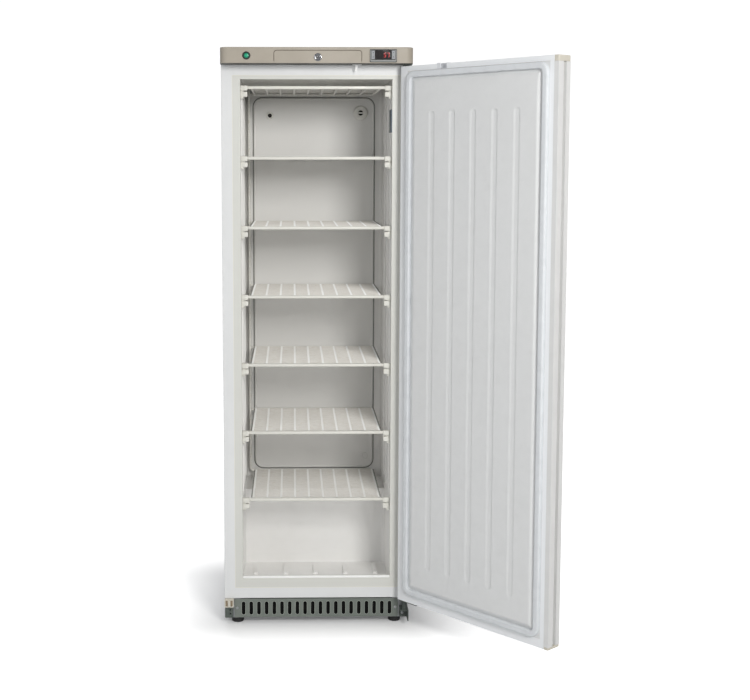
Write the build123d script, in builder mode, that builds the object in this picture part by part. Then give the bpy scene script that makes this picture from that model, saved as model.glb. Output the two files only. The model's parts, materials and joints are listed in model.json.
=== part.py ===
from build123d import *
import os
from math import cos, radians, sin

# Upright freezer with an open right-hinged door, millimetres.
# X runs to the right, Y to the back and Z up. The origin is on the floor, under the middle of the
# space that the closed freezer takes up. The freezer faces -Y and its door stands open.

# ------------------------------------------------------------------ driving dimensions
cabinet_width = 600.0
cabinet_height = 1860.0
closed_depth = 600.0  # fascia front to condenser back

sheet = 1.0  # steel of the outer panels
hem = 2.0  # folded double edge of the side panels' front flange
liner_wall = 2.0  # inner plastic skins
frame_setback = 66.0  # cabinet front frame behind the front of fascia and door
side_wall = 60.0  # outside to inner liner surface
roof_wall = 60.0
back_wall = 56.0
floor_wall = 38.0
flange_width = 35.0  # painted steel strip each side of the liner
rail_height = 35.0  # painted rail under the sill
sill_face = 36.0  # liner sill above the rail
sill_depth = 20.0  # front to back, at the sill's top
top_seam = 12.0  # liner flange above the opening
service_height = 34.0  # hollow under the top cover
condenser_space = 38.0  # back panel to the back of the condenser

foot_gap = 20.0  # floor to the underside of the base
base_height = 66.0
base_sheet = 1.5
bay_depth = 181.0  # machine bay, front to back
bay_height = 305.0  # machine bay, above the base's underside
bay_wall = 60.0  # insulation between bay and store room

fascia_height = 50.0
fascia_wall = 3.0
fascia_end_radius = 25.0

door_open_deg = 131.5
door_gap = 12.0  # front frame to the door's inner face
door_overhang = 5.0  # door past the cabinet's side, at the handle
door_under_fascia = 7.0
door_lift = 6.0  # door's lower edge above the painted rail's
hinge_inset = 13.5  # hinge axis from the cabinet's right side
hinge_ahead = 32.0  # hinge axis in front of the front frame
skin_return = 1.0  # thickness of the door skin's inner return
panel_margin_side = 51.0  # door edge to the raised panel's border
panel_margin_top = 37.0
panel_margin_bottom = 49.0
skin_radius = 4.0  # upright edges at the hinge
panel_rise = 9.0
panel_slope = 18.0
panel_corner = 12.0
groove_count = 5
groove_pitch = 82.0
groove_width = 24.0
groove_depth = 4.0
groove_below_top = 139.0  # door top to the grooves' top ends
groove_above_bottom = 129.0
gasket_width = 19.0
gasket_play = 0.4  # left free between gasket and front frame
handle_depth = 16.0
grip_width = 14.0
grip_depth = 13.0
grip_from_front = 18.0
handle_cap_top = 17.0
handle_cap_bottom = 8.0
pin_radius = 4.0
pin_play = 0.05
bush_radius = 8.0
bush_length = 20.0

shelf_count = 7
top_shelf_gap = 25.0  # opening's top to the highest front bar
lowest_bar = 252.0  # sill top to the lowest front bar
bar_height = 10.0
bar_thickness = 8.0
bar_setback = 24.0
clip_length = 22.0
tube_count = 10
tube_radius = 4.0
tube_side_gap = 34.0  # side wall to the outer tube
shelf_setback = 33.0
bend_from_back = 23.0
header_spacing = 13.0
wire_radius = 0.7
wire_pitch = 6.5
wire_gap = 0.02
wire_margin = 3.0  # front and rear bends to the nearest wire

slot_count = 20
slot_pitch = 25.2
slot_width = 12.5
slot_length = 44.5
slot_shift = 1.0  # slot row off the grille's middle
grille_inset = 32.0  # cabinet side to the grille's end
corner_flange = 50.0  # base front flange behind each end of the grille
foot_radius = 20.0
foot_height = 16.0
stud_radius = 5.0
foot_from_side = 42.0
foot_from_front = 30.0
roller_radius = 18.0
roller_width = 20.0
roller_from_side = 45.0
roller_from_back = 27.0
axle_radius = 3.0
running_play = 0.05

switch_from_left = 82.5
switch_height = 23.7  # above the fascia's lower edge
switch_bezel_radius = 12.5
switch_button_radius = 8.4
switch_travel = 2.5
lock_shift = 3.4
lock_height = 19.0
lock_flange_radius = 12.5
lock_body_radius = 9.5
plug_radius = 7.0
cam_pin_arm = 6.5
hook_from_right = 173.0
hook_arm = 17.0
hook_pivot_height = 8.0
hook_reach = 28.0
controller_from_right = 94.0
controller_width = 84.0
controller_height = 40.0
controller_lift = 23.5
window_width = 50.0
window_height = 29.0
key_width = 10.0
key_height = 26.0
bezel_margin = 3.4  # cut-out inside the controller's bezel
body_play = 0.4

# gasket and hook
gasket_inner = 1.0  # panel border to the gasket
hook_tail_rest_deg = 15.7

# cabinet outer panels
screw_radius = 2.0
screw_play = 0.1
screw_head_radius = 4.5
screw_head = 2.5
panel_lift = 4.0  # base's underside to the side panels' lower edge
return_width = 14.0  # side panels' rear return
screw_grip = 6.0
back_screw_inset = 150.0  # back panel's ends to its outer screws

# liner and insulation
corner_radius = 14.0
floor_rib_count = 5
floor_rib_pitch = 100.5
floor_rib_setback = 102.0  # sill's back to the ribs' front ends
floor_rib_length = 90.0
floor_rib_width = 14.0
floor_rib_rise = 7.0
wall_rib_count = 3
wall_rib_pitch = 118.0
wall_rib_from_bar = 38.0
wall_rib_above_step = 40.0
wall_rib_below_top = 20.0
wall_rib_width = 12.0
wall_rib_rise = 3.0
cold_wall_rise = 2.0
cold_wall_side_gap = 30.0
cold_wall_above_shelf = 7.5
cold_wall_below_top = 37.5
cold_wall_corner = 30.0

# cooled shelves and their trim
header_gap = 20.0  # outer tube to the risers
riser_below_shelf = 12.0
wire_overhang = 3.0  # wires past the outer tubes
bar_edge_radius = 3.0
clip_depth = 16.0
clip_upper = 16.0
clip_lower = 16.0
clip_slit = 3.5
clip_tail = 6.0
clip_step = 1.5  # lower block behind the upper one's front
web_setback = 4.0
probe_from_edge = 56.0  # raised panel's edge to the probe socket
probe_below_shelf = 72.0
probe_radius = 13.0
probe_height = 5.0
probe_bore = 7.0
vent_from_edge = 46.5
vent_below_shelf = 63.0
vent_radius = 25.0
vent_height = 8.0
vent_bore = 9.0
vent_bar_length = 24.0
vent_bar_width = 5.0

# base, grille, feet and rollers
grille_lip = 9.0
grille_screw_inset = 9.0
rear_lip = 22.0
nut_height = 10.0
ear_half_length = 24.0
ear_below_axle = 8.0
ear_above_axle = 14.0
roller_slot_play = 2.0
neck_radius = 9.5
neck_play = 0.5
stud_length = 38.0
plate_bolt_rises = (15.0, 27.5)  # base's underside to the hinge plates' bolts
plate_bolt_inset = 18.0
ear_gap = 1.0
ear_thickness = 2.5
plate_bolt_radius = 2.6

# hinges and hinge covers
arm_rise = 38.0  # base's underside to the top of the lower hinge's arm
arm_reach = 14.0  # arm past the pin, to the front
upper_flange = 20.0
pin_end_gap = 2.0  # pin's end to the bush's end
plate_width = 28.0
hinge_plate_thickness = 5.0
arm_thickness = 3.0
door_plate_thickness = 3.0
collar_play = 0.2
cover_depth = 14.0
cover_recess_shift = 8.0
cover_recess_width = 7.0
cover_recess_depth = 9.0
cover_pin_radius = 4.5

# fascia and its controls
hook_setback = 18.0  # hook in front of the cabinet's front frame
hook_slot_left = 6.5  # hook's middle to the slot's ends
hook_slot_right = 11.5
guide_front = 10.0  # hook's middle to the guide's front
guide_back = 9.0
guide_thickness = 2.0
link_setback = 9.5  # lock bar in front of the hook's middle
link_end = 9.0
link_thickness = 3.0
link_half_height = 7.0
cam_thickness = 3.0
cam_gap = 0.5
post_half_width = 3.0
post_play = 0.4
controller_depth = 48.0
controller_rim = 2.0
window_rise = 2.6  # controller's middle to the display window's middle
window_key_gap = 1.5
window_play = 0.4
bezel_rim = 2.1
bezel_rise = 2.5
bezel_length = 19.0
button_rise = 4.0
button_length = 14.0
button_play = 0.1
badge_width = 274.0
badge_groove = 1.4  # depth of the outline pressed round the bare middle panel
badge_line = 2.2
badge_height = 41.0
badge_radius = 10.0
barrel_length = 30.0
pin_r = 2.0
link_play = 0.5
stem_width = 7.0
hook_thickness = 4.0
eye_radius = 5.5
hook_pin_radius = 2.0
window_recess = 2.0
key_recess = 4.0
key_thickness = 3.0
key_play = 0.4

# door
keeper_wall = 1.5
keeper_depth = 18.0
keeper_stand = 2.5
keeper_lip = 14.0
keeper_inner_side = 22.0  # hook's place to the keeper's ends
keeper_outer_side = 18.0
hinge_plate_length = 70.0
hinge_plate_width = 35.0
gasket_edge_radius = 4.0
handle_edge_radius = 3.0

# machine bay and condenser
mount_radius = 12.0
mount_neck_radius = 5.0
mount_neck_play = 0.1
mount_height = 14.0
mount_span_x = 180.0
mount_span_y = 110.0
compressor_x = -90.0
shell_long = 105.0
shell_short = 72.0
shell_tall = 165.0
shell_wall = 3.5
relay_gap = 5.5
relay_width = 38.0
relay_depth = 56.0
relay_height = 62.0
relay_lift = 50.0
drier_x = 130.0
drier_lift = 70.0
drier_radius = 10.0
drier_length = 110.0
drier_tube_radius = 2.5
drier_tube_reach = 68.0
condenser_tube_radius = 2.5
condenser_pitch = 60.0
condenser_wire_radius = 0.75
condenser_wire_pitch = 16.0
condenser_edge = 45.0
condenser_lift = 65.0  # machine bay's top to the lowest row
condenser_top_gap = 60.0
condenser_tail = 110.0  # machine bay's top down to the tube's lower end
strap_inset = 40.0
strap_width = 14.0
gland_x = 190.0
gland_radius = 10.0
gland_bore = 4.5
inlet_width = 64.0
inlet_depth = 46.0
inlet_height = 58.0
inlet_gland_rise = 40.0

# ------------------------------------------------------------------ derived places
side_x = cabinet_width / 2
front_y = -closed_depth / 2
back_y = closed_depth / 2
frame_y = front_y + frame_setback
panel_y = back_y - condenser_space
rail_bottom_z = foot_gap + base_height
seam_z = rail_bottom_z + rail_height
opening_bottom_z = seam_z + sill_face
body_top_z = cabinet_height - service_height
opening_top_z = body_top_z - roof_wall
opening_half = side_x - side_wall
liner_edge_x = side_x - flange_width
foam_bottom_z = rail_bottom_z + sheet
inner_floor_z = foam_bottom_z + floor_wall
inner_back_y = panel_y - back_wall
bay_front_y = panel_y - bay_depth
bay_top_z = foot_gap + bay_height
step_y = bay_front_y - bay_wall
step_z = bay_top_z + bay_wall
sill_back_y = frame_y + sill_depth

fascia_bottom_z = cabinet_height - fascia_height
door_bottom_z = rail_bottom_z + door_lift
door_top_z = fascia_bottom_z - door_under_fascia
hinge_x = side_x - hinge_inset
hinge_y = frame_y - hinge_ahead

# the door's own axes: t from the hinge along the door, n out through its front, z up
door_turn = radians(180 + door_open_deg)
along = Vector(cos(door_turn), sin(door_turn), 0)
outward = Vector(-sin(door_turn), cos(door_turn), 0)
door_frame = Plane(origin=(hinge_x, hinge_y, 0), x_dir=along, z_dir=(0, 0, 1))
near_t = -hinge_inset
far_t = cabinet_width - hinge_inset + door_overhang
skin_far_t = far_t - handle_depth
inner_n = door_gap - hinge_ahead
outer_n = hinge_y - front_y
mid_t = (near_t + far_t) / 2
plate_n = inner_n + skin_return
panel_face_n = inner_n - panel_rise
panel_half = (far_t - near_t) / 2 - panel_margin_side
panel_low_z = door_bottom_z + panel_margin_bottom
panel_high_z = door_top_z - panel_margin_top
panel_mid_z = (panel_low_z + panel_high_z) / 2
panel_tall = panel_high_z - panel_low_z
gasket_face_n = -hinge_ahead + gasket_play
window_grow = gasket_inner + gasket_width + 1.0  # panel border to the edge of the skin's return

first_shelf_z = opening_bottom_z + lowest_bar
shelf_spacing = (opening_top_z - top_shelf_gap - first_shelf_z) / (shelf_count - 1)
shelf_z = [first_shelf_z + i * shelf_spacing for i in range(shelf_count)]
bar_y = frame_y + bar_setback
tube_pitch = 2 * (opening_half - tube_side_gap) / (tube_count - 1)
tube_x = [-opening_half + tube_side_gap + i * tube_pitch for i in range(tube_count)]
tube_front_y = frame_y + shelf_setback
feed_y = inner_back_y - bend_from_back
return_y = feed_y + header_spacing
header_x = tube_x[0] - header_gap

grille_half = side_x - grille_inset
grille_y = frame_y + base_sheet
corner_y = grille_y + base_sheet
foot_x = side_x - foot_from_side
foot_y = frame_y + foot_from_front
roller_x = side_x - roller_from_side
roller_y = panel_y - roller_from_back
roller_z = roller_radius

lock_z = fascia_bottom_z + lock_height
hook_x = side_x - hook_from_right
hook_y = frame_y - hook_setback
hook_pivot_z = fascia_bottom_z + hook_pivot_height
bar_link_z = hook_pivot_z + hook_arm * cos(radians(hook_tail_rest_deg))


# ------------------------------------------------------------------ helpers
def block(low, high, mode=Mode.ADD):
    """A rectangular block between two opposite corners, in the axes of the part being built."""
    size = [b - a for a, b in zip(low, high)]
    with Locations(low):
        Box(*size, align=(Align.MIN, Align.MIN, Align.MIN), mode=mode)


def rod(start, direction, radius, length, mode=Mode.ADD):
    """A round rod that starts at a point and runs along a direction."""
    with BuildSketch(Plane(origin=start, z_dir=direction)) as disc:
        Circle(radius)
    extrude(disc.sketch, amount=length, mode=mode)


def rounded_plate(plane, width, height, radius, thickness, mode=Mode.ADD):
    """A plate with rounded corners, centred on a plane and as thick as asked along its normal."""
    with BuildSketch(plane) as outline:
        RectangleRounded(width, height, radius)
    extrude(outline.sketch, amount=thickness, mode=mode)


def door_level(z):
    """Horizontal plane in the door's axes at a height."""
    return door_frame.offset(z)


def door_face(t, n, z):
    """Upright plane parallel to the door: its x is t, its y is up and its normal points inwards."""
    return Plane(origin=door_frame.from_local_coords((t, n, z)), x_dir=along, z_dir=-outward)


def front_plane(x, y, z):
    """Upright plane that faces the front: its x is X and its y is Z, and its normal is -Y."""
    return Plane(origin=(x, y, z), x_dir=(1, 0, 0), z_dir=(0, -1, 0))


def save(piece, name):
    """Labels a finished piece and writes its file."""
    piece.part.label = name
    export_step(piece.part, f"parts/{name}.step")


os.makedirs("parts", exist_ok=True)


# ------------------------------------------------------------------ cabinet outer panels
chassis_back_y = panel_y - 2 * sheet  # just ahead of the returns
back_screw_x = side_x - return_width / 2 - sheet
back_screw_low_z = bay_top_z + back_screw_inset
back_screw_high_z = body_top_z - back_screw_inset
back_screw_z = [back_screw_low_z, (back_screw_low_z + back_screw_high_z) / 2, back_screw_high_z]


def side_panel(hand):
    """Side sheet with a hemmed front flange and a narrow rear return; hand is -1 left, 1 right."""
    with BuildPart() as panel:
        with BuildSketch(Plane.XY.offset(foot_gap + panel_lift)) as section:
            with Locations((hand * (side_x - sheet / 2), (frame_y + panel_y - sheet) / 2)):
                Rectangle(sheet, panel_y - sheet - frame_y)
            with Locations((hand * (side_x - flange_width / 2), frame_y + hem / 2)):
                Rectangle(flange_width, hem)
            with Locations((hand * (side_x - return_width / 2), panel_y - sheet * 1.5)):
                Rectangle(return_width, sheet)
        extrude(amount=body_top_z - foot_gap - panel_lift)
        front_edges = panel.edges().filter_by(Axis.Z).group_by(Axis.Y)[0]
        fillet(front_edges.sort_by(Axis.X)[-1 if hand > 0 else 0], radius=hem * 0.9)
        inner_x = side_x - flange_width - 1
        low_x = min(hand * inner_x, hand * (side_x - sheet))
        high_x = max(hand * inner_x, hand * (side_x - sheet))
        block((low_x, frame_y - 1, 0), (high_x, frame_y + hem + 1, rail_bottom_z), mode=Mode.SUBTRACT)
        for z in back_screw_z:
            rod((hand * back_screw_x, panel_y, z), (0, -1, 0), screw_radius + screw_play, 3, Mode.SUBTRACT)
    return panel


save(side_panel(-1), "side_panel_left")
save(side_panel(1), "side_panel_right")

with BuildPart() as top_cover:
    block((-side_x, frame_y, body_top_z), (side_x, panel_y, cabinet_height))
    top_rim = top_cover.edges().group_by(Axis.Z)[-1].filter_by(Axis.Y)
    fillet(top_rim, radius=sheet * 0.9)
    block(
        (-side_x + sheet, frame_y - 1, body_top_z - 1),
        (side_x - sheet, panel_y - sheet, cabinet_height - sheet),
        mode=Mode.SUBTRACT,
    )
save(top_cover, "top_cover")

with BuildPart() as back_panel:
    block((-side_x, panel_y - sheet, bay_top_z), (side_x, panel_y, body_top_z))
    for hand in (-1, 1):
        for z in back_screw_z:
            rod((hand * back_screw_x, panel_y, z), (0, -1, 0), screw_radius + screw_play, 3, Mode.SUBTRACT)
save(back_panel, "back_panel")

with BuildPart() as machine_bay_panel:
    block(
        (-side_x + sheet, bay_front_y - sheet, foam_bottom_z),
        (side_x - sheet, bay_front_y, bay_top_z + sheet),
    )
    block(
        (-side_x + sheet, bay_front_y - sheet, bay_top_z),
        (side_x - sheet, chassis_back_y, bay_top_z + sheet),
    )
save(machine_bay_panel, "machine_bay_panel")

with BuildPart() as front_rails:
    block((-liner_edge_x, frame_y, rail_bottom_z), (liner_edge_x, frame_y + hem, seam_z))
    block((-liner_edge_x, frame_y, rail_bottom_z), (liner_edge_x, frame_y + 22, foam_bottom_z))
    block((-liner_edge_x, frame_y, opening_top_z + top_seam), (liner_edge_x, frame_y + hem, body_top_z))
save(front_rails, "front_rails")


# ------------------------------------------------------------------ liner and insulation


def store_room(grow):
    """Space of the store room, grown by a wall: tall part, lower part before the step, and mouth."""
    half = opening_half + grow
    with BuildPart() as room:
        block((-half, frame_y, step_z - grow), (half, inner_back_y + grow, opening_top_z + grow))
        block((-half, frame_y, inner_floor_z - grow), (half, step_y + grow, step_z + grow))
        upright = room.edges().filter_by(Axis.Z).filter_by(
            lambda edge: abs(edge.center().X) > half - 1 and edge.center().Y > sill_back_y
        )
        fillet(upright, radius=corner_radius + grow)
        block(
            (-half - 1, frame_y - 1, inner_floor_z - grow - 1),
            (half + 1, sill_back_y - grow, opening_bottom_z - grow),
            mode=Mode.SUBTRACT,
        )
    return room.part


wall_rib_low_z = step_z + wall_rib_above_step
wall_rib_high_z = opening_top_z - wall_rib_below_top
wall_rib_y = [bar_y + wall_rib_from_bar + i * wall_rib_pitch for i in range(wall_rib_count)]
floor_rib_x = [(i - (floor_rib_count - 1) / 2) * floor_rib_pitch for i in range(floor_rib_count)]
floor_rib_y = sill_back_y + floor_rib_setback
cold_wall_half = opening_half - cold_wall_side_gap
cold_wall_low_z = shelf_z[0] + cold_wall_above_shelf
cold_wall_high_z = opening_top_z - cold_wall_below_top

with BuildPart() as inner_liner:
    add(store_room(liner_wall))
    with BuildSketch(front_plane(0, frame_y + hem, (seam_z + opening_top_z + top_seam) / 2)):
        Rectangle(2 * liner_edge_x, opening_top_z + top_seam - seam_z)
    extrude(amount=hem)
    add(store_room(0), mode=Mode.SUBTRACT)
    block(
        (-opening_half, frame_y - 1, opening_bottom_z),
        (opening_half, sill_back_y, opening_top_z),
        mode=Mode.SUBTRACT,
    )
    for hand in (-1, 1):
        for y in wall_rib_y:
            rib_x = hand * (opening_half - wall_rib_rise / 2)
            with Locations((rib_x, y, (wall_rib_low_z + wall_rib_high_z) / 2)):
                Box(wall_rib_rise, wall_rib_width, wall_rib_high_z - wall_rib_low_z)
    for x in floor_rib_x:
        block(
            (x - floor_rib_width / 2, floor_rib_y, inner_floor_z),
            (x + floor_rib_width / 2, floor_rib_y + floor_rib_length, inner_floor_z + floor_rib_rise),
        )
    with BuildSketch(front_plane(0, inner_back_y, (cold_wall_low_z + cold_wall_high_z) / 2)):
        RectangleRounded(2 * cold_wall_half, cold_wall_high_z - cold_wall_low_z, cold_wall_corner)
    extrude(amount=cold_wall_rise)
save(inner_liner, "inner_liner")

with BuildPart() as insulation_foam:
    block((-side_x + sheet, frame_y + hem, foam_bottom_z), (side_x - sheet, panel_y - sheet, body_top_z))
    add(store_room(liner_wall), mode=Mode.SUBTRACT)
    block(
        (-side_x, bay_front_y - sheet, foam_bottom_z - 1),
        (side_x, panel_y, bay_top_z + sheet),
        mode=Mode.SUBTRACT,
    )
    for hand in (-1, 1):
        low_x = min(hand * side_x, hand * (side_x - return_width))
        block(
            (low_x, panel_y - 2 * sheet, bay_top_z),
            (low_x + return_width, panel_y, body_top_z),
            mode=Mode.SUBTRACT,
        )
        for z in back_screw_z:
            start = (hand * back_screw_x, panel_y, z)
            rod(start, (0, -1, 0), screw_radius + 1, screw_grip + 2, Mode.SUBTRACT)
save(insulation_foam, "insulation_foam")


# ------------------------------------------------------------------ cooled shelves and their trim
def evaporator_shelf(z):
    """One tube bent to and fro in a level plane, with both ends led back to the left rear corner."""
    front, rear = tube_front_y, feed_y
    points = [(header_x + tube_radius, rear, z), (tube_x[0], rear, z)]
    for i in range(tube_count - 1):
        turn_y = front if i % 2 == 0 else rear
        points += [(tube_x[i], turn_y, z), (tube_x[i + 1], turn_y, z)]
    points += [(tube_x[-1], return_y, z), (header_x + tube_radius, return_y, z)]
    bend = tube_pitch / 2 - 0.05
    radii = [tube_radius * 1.8] + [bend] * (2 * (tube_count - 1)) + [tube_radius * 2.5]
    with BuildPart() as shelf:
        with BuildLine() as route:
            FilletPolyline(*points, radius=radii)
        with BuildSketch(Plane(origin=route.line @ 0, z_dir=route.line % 0)):
            Circle(tube_radius)
        sweep()
    return shelf


for i, z in enumerate(shelf_z):
    save(evaporator_shelf(z), f"evaporator_shelf_{i + 1}")

wire_run = feed_y - tube_front_y - 2 * wire_margin
wire_count = int(wire_run / wire_pitch) + 1
wire_half = -tube_x[0] + tube_radius + wire_overhang
with BuildPart() as shelf_wires:
    with BuildSketch(Plane(origin=(-wire_half, 0, 0), x_dir=(0, 1, 0), z_dir=(1, 0, 0))):
        for z in shelf_z:
            with Locations(((tube_front_y + feed_y) / 2, z + tube_radius + wire_radius + wire_gap)):
                with GridLocations(wire_pitch, 1, wire_count, 1):
                    Circle(wire_radius)
    extrude(amount=2 * wire_half)
save(shelf_wires, "shelf_wires")

with BuildPart() as shelf_front_bars:
    bar_half = opening_half - clip_length
    with BuildSketch(Plane(origin=(-bar_half, bar_y, 0), x_dir=(0, 1, 0), z_dir=(1, 0, 0))):
        for z in shelf_z:
            with Locations((0, z)):
                RectangleRounded(bar_thickness, bar_height, bar_edge_radius)
    extrude(amount=2 * bar_half)
save(shelf_front_bars, "shelf_front_bars")

with BuildPart() as bar_clips:
    for hand in (-1, 1):
        wall = hand * opening_half
        tip = hand * (opening_half - clip_length)
        web = hand * (opening_half - clip_length * 0.45)
        for z in shelf_z:
            top = z + clip_upper * 0.4
            split_z = top - clip_upper
            low_z = split_z - clip_slit - clip_lower
            y0, y1 = bar_y - clip_depth / 2, bar_y + clip_depth / 2
            block((min(wall, tip), y0, split_z), (max(wall, tip), y1, top))
            block((min(wall, tip), y0 + clip_step, low_z), (max(wall, tip), y1, split_z - clip_slit))
            block((min(wall, web), y0 + web_setback, low_z - clip_tail), (max(wall, web), y1, split_z))
save(bar_clips, "bar_clips")

riser_low_z = shelf_z[0] - riser_below_shelf
with BuildPart() as riser_tubes:
    for y in (feed_y, return_y):
        rod((header_x, y, riser_low_z), (0, 0, 1), tube_radius, opening_top_z - riser_low_z)
save(riser_tubes, "riser_tubes")

fitting_y = inner_back_y - cold_wall_rise
with BuildPart() as probe_socket:
    probe_place = (-cold_wall_half + probe_from_edge, fitting_y, shelf_z[-1] - probe_below_shelf)
    rod(probe_place, (0, -1, 0), probe_radius, probe_height)
    rod(probe_place, (0, -1, 0), probe_bore, probe_height + 1, Mode.SUBTRACT)
save(probe_socket, "probe_socket")

with BuildPart() as vent_disc:
    vent_place = (cold_wall_half - vent_from_edge, fitting_y, shelf_z[-1] - vent_below_shelf)
    rod(vent_place, (0, -1, 0), vent_radius, vent_height)
    fillet(vent_disc.faces().sort_by(Axis.Y)[0].edges(), radius=3)
    rod(vent_place, (0, -1, 0), vent_bore, vent_height + 1, Mode.SUBTRACT)
    with Locations((vent_place[0], fitting_y - vent_height / 2, vent_place[2])):
        Box(vent_bar_length, vent_bar_width, vent_bar_width)
save(vent_disc, "vent_disc")


# ------------------------------------------------------------------ base, grille, feet and rollers
bay_floor_z = foot_gap + base_sheet
plate_bolt_z = [foot_gap + rise for rise in plate_bolt_rises]
plate_bolt_x = side_x - plate_bolt_inset
grille_screw_x = grille_half - grille_screw_inset
grille_screw_z = foot_gap + base_height / 2

slot_half_x = roller_width / 2 + roller_slot_play
slot_half_y = roller_radius + roller_slot_play + 1

with BuildPart() as base_chassis:
    inner = side_x - sheet
    block((-inner, grille_y, foot_gap), (inner, chassis_back_y, bay_floor_z))
    for hand in (-1, 1):
        low_x = min(hand * inner, hand * (inner - base_sheet))
        block((low_x, grille_y, foot_gap), (low_x + base_sheet, chassis_back_y, rail_bottom_z))
        low_x = min(hand * inner, hand * (inner - corner_flange))
        block((low_x, grille_y, foot_gap), (low_x + corner_flange, corner_y, rail_bottom_z))
        rod((hand * foot_x, foot_y, foot_gap), (0, 0, 1), stud_radius * 2, nut_height + base_sheet)
        block(
            (hand * roller_x - slot_half_x, roller_y - slot_half_y, foot_gap - 1),
            (hand * roller_x + slot_half_x, roller_y + slot_half_y, bay_floor_z + 1),
            mode=Mode.SUBTRACT,
        )
        for ear in (-1, 1):
            ear_x = hand * roller_x + ear * (roller_width / 2 + ear_gap)
            low_x = min(ear_x, ear_x + ear * ear_thickness)
            block(
                (low_x, roller_y - ear_half_length, roller_z - ear_below_axle),
                (low_x + ear_thickness, roller_y + ear_half_length, roller_z + ear_above_axle),
            )
        axle_half = roller_width / 2 + ear_gap + ear_thickness
        rod((hand * roller_x - axle_half, roller_y, roller_z), (1, 0, 0), axle_radius, 2 * axle_half)
    block((-inner, chassis_back_y - base_sheet, foot_gap), (inner, chassis_back_y, foot_gap + rear_lip))
    for hand in (-1, 1):
        rod(
            (hand * foot_x, foot_y, foot_gap - 1),
            (0, 0, 1),
            stud_radius + running_play,
            nut_height + base_sheet + 2,
            Mode.SUBTRACT,
        )
        rod(
            (hand * grille_screw_x, grille_y - 1, grille_screw_z),
            (0, 1, 0),
            screw_radius + screw_play,
            base_sheet + 2,
            Mode.SUBTRACT,
        )
        for z in plate_bolt_z:
            rod(
                (hand * plate_bolt_x, grille_y - 1, z),
                (0, 1, 0),
                plate_bolt_radius,
                base_sheet + 2,
                Mode.SUBTRACT,
            )
save(base_chassis, "base_chassis")

with BuildPart() as lower_grille:
    grille_low = foot_gap + 1
    grille_high = rail_bottom_z - 3
    block((-grille_half, frame_y, grille_low), (grille_half, grille_y, grille_high))
    block(
        (-grille_half, frame_y, grille_high - base_sheet),
        (grille_half, grille_y + grille_lip, grille_high),
    )
    block(
        (-grille_half + corner_flange, grille_y, bay_floor_z),
        (grille_half - corner_flange, grille_y + grille_lip, bay_floor_z + base_sheet),
    )
    for hand in (-1, 1):
        outer_x = hand * grille_half
        inner_x = hand * (grille_half - corner_flange + 18)
        block(
            (min(outer_x, inner_x), grille_y, grille_high - base_sheet - 1),
            (max(outer_x, inner_x), grille_y + grille_lip + 1, grille_high + 1),
            mode=Mode.SUBTRACT,
        )
    with BuildSketch(front_plane(slot_shift, grille_y + 1, (grille_low + grille_high) / 2)):
        with GridLocations(slot_pitch, 1, slot_count, 1):
            SlotOverall(slot_length, slot_width, rotation=90)
    extrude(amount=base_sheet + 2, mode=Mode.SUBTRACT)
    for hand in (-1, 1):
        rod(
            (hand * grille_screw_x, frame_y - 1, grille_screw_z),
            (0, 1, 0),
            screw_radius + screw_play,
            base_sheet + 2,
            Mode.SUBTRACT,
        )
save(lower_grille, "lower_grille")


def levelling_foot(hand):
    """Round foot with a hexagon neck and a threaded stud's plain outside."""
    with BuildPart() as foot:
        rod((hand * foot_x, foot_y, 0), (0, 0, 1), foot_radius, foot_height)
        chamfer(foot.edges().group_by(Axis.Z)[0], length=2)
        fillet(foot.edges().group_by(Axis.Z)[-1], radius=2)
        with BuildSketch(Plane(origin=(hand * foot_x, foot_y, foot_height))):
            RegularPolygon(neck_radius, 6)
        extrude(amount=foot_gap - foot_height - neck_play)
        rod((hand * foot_x, foot_y, foot_height), (0, 0, 1), stud_radius, stud_length)
    return foot


save(levelling_foot(-1), "foot_left")
save(levelling_foot(1), "foot_right")


def roller(hand):
    """Rear transport roller with a bore that runs on its axle."""
    with BuildPart() as wheel:
        start = (hand * roller_x - roller_width / 2, roller_y, roller_z)
        rod(start, (1, 0, 0), roller_radius, roller_width)
        fillet(wheel.edges().filter_by(GeomType.CIRCLE), radius=2)
        rod(start, (1, 0, 0), axle_radius + running_play, roller_width, Mode.SUBTRACT)
    return wheel


save(roller(-1), "roller_left")
save(roller(1), "roller_right")


# ------------------------------------------------------------------ hinges and hinge covers
arm_top_z = foot_gap + arm_rise
arm_front_y = hinge_y - arm_reach
collar_top_z = door_bottom_z - door_plate_thickness - collar_play
pin_top_z = door_bottom_z + bush_length - pin_end_gap

with BuildPart() as hinge_bottom:
    x0, x1 = side_x - plate_width, side_x - sheet
    block((x0, grille_y - hinge_plate_thickness, foot_gap + 1), (x1, grille_y, arm_top_z))
    block((x0, arm_front_y, arm_top_z - arm_thickness), (x1, grille_y, arm_top_z))
    block((x1 - arm_thickness, arm_front_y, foot_gap + 1), (x1, grille_y, arm_top_z))
    collar_low_z = arm_top_z - arm_thickness
    rod((hinge_x, hinge_y, collar_low_z), (0, 0, 1), bush_radius, collar_top_z - collar_low_z)
    rod((hinge_x, hinge_y, arm_top_z), (0, 0, 1), pin_radius, pin_top_z - arm_top_z)
    for z in plate_bolt_z:
        rod(
            (plate_bolt_x, grille_y + 1, z),
            (0, -1, 0),
            plate_bolt_radius,
            hinge_plate_thickness + 2,
            Mode.SUBTRACT,
        )
save(hinge_bottom, "hinge_bottom")

with BuildPart() as hinge_top:
    x0, x1 = side_x - plate_width, side_x - 2
    plate_z = fascia_bottom_z - arm_thickness
    block((x0, arm_front_y, plate_z), (x1, frame_y, fascia_bottom_z))
    block((x0, frame_y - 2, fascia_bottom_z - upper_flange), (x1, frame_y, fascia_bottom_z))
    pin_low_z = door_top_z - bush_length + pin_end_gap
    rod((hinge_x, hinge_y, plate_z), (0, 0, -1), pin_radius, plate_z - pin_low_z)
save(hinge_top, "hinge_top")

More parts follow.
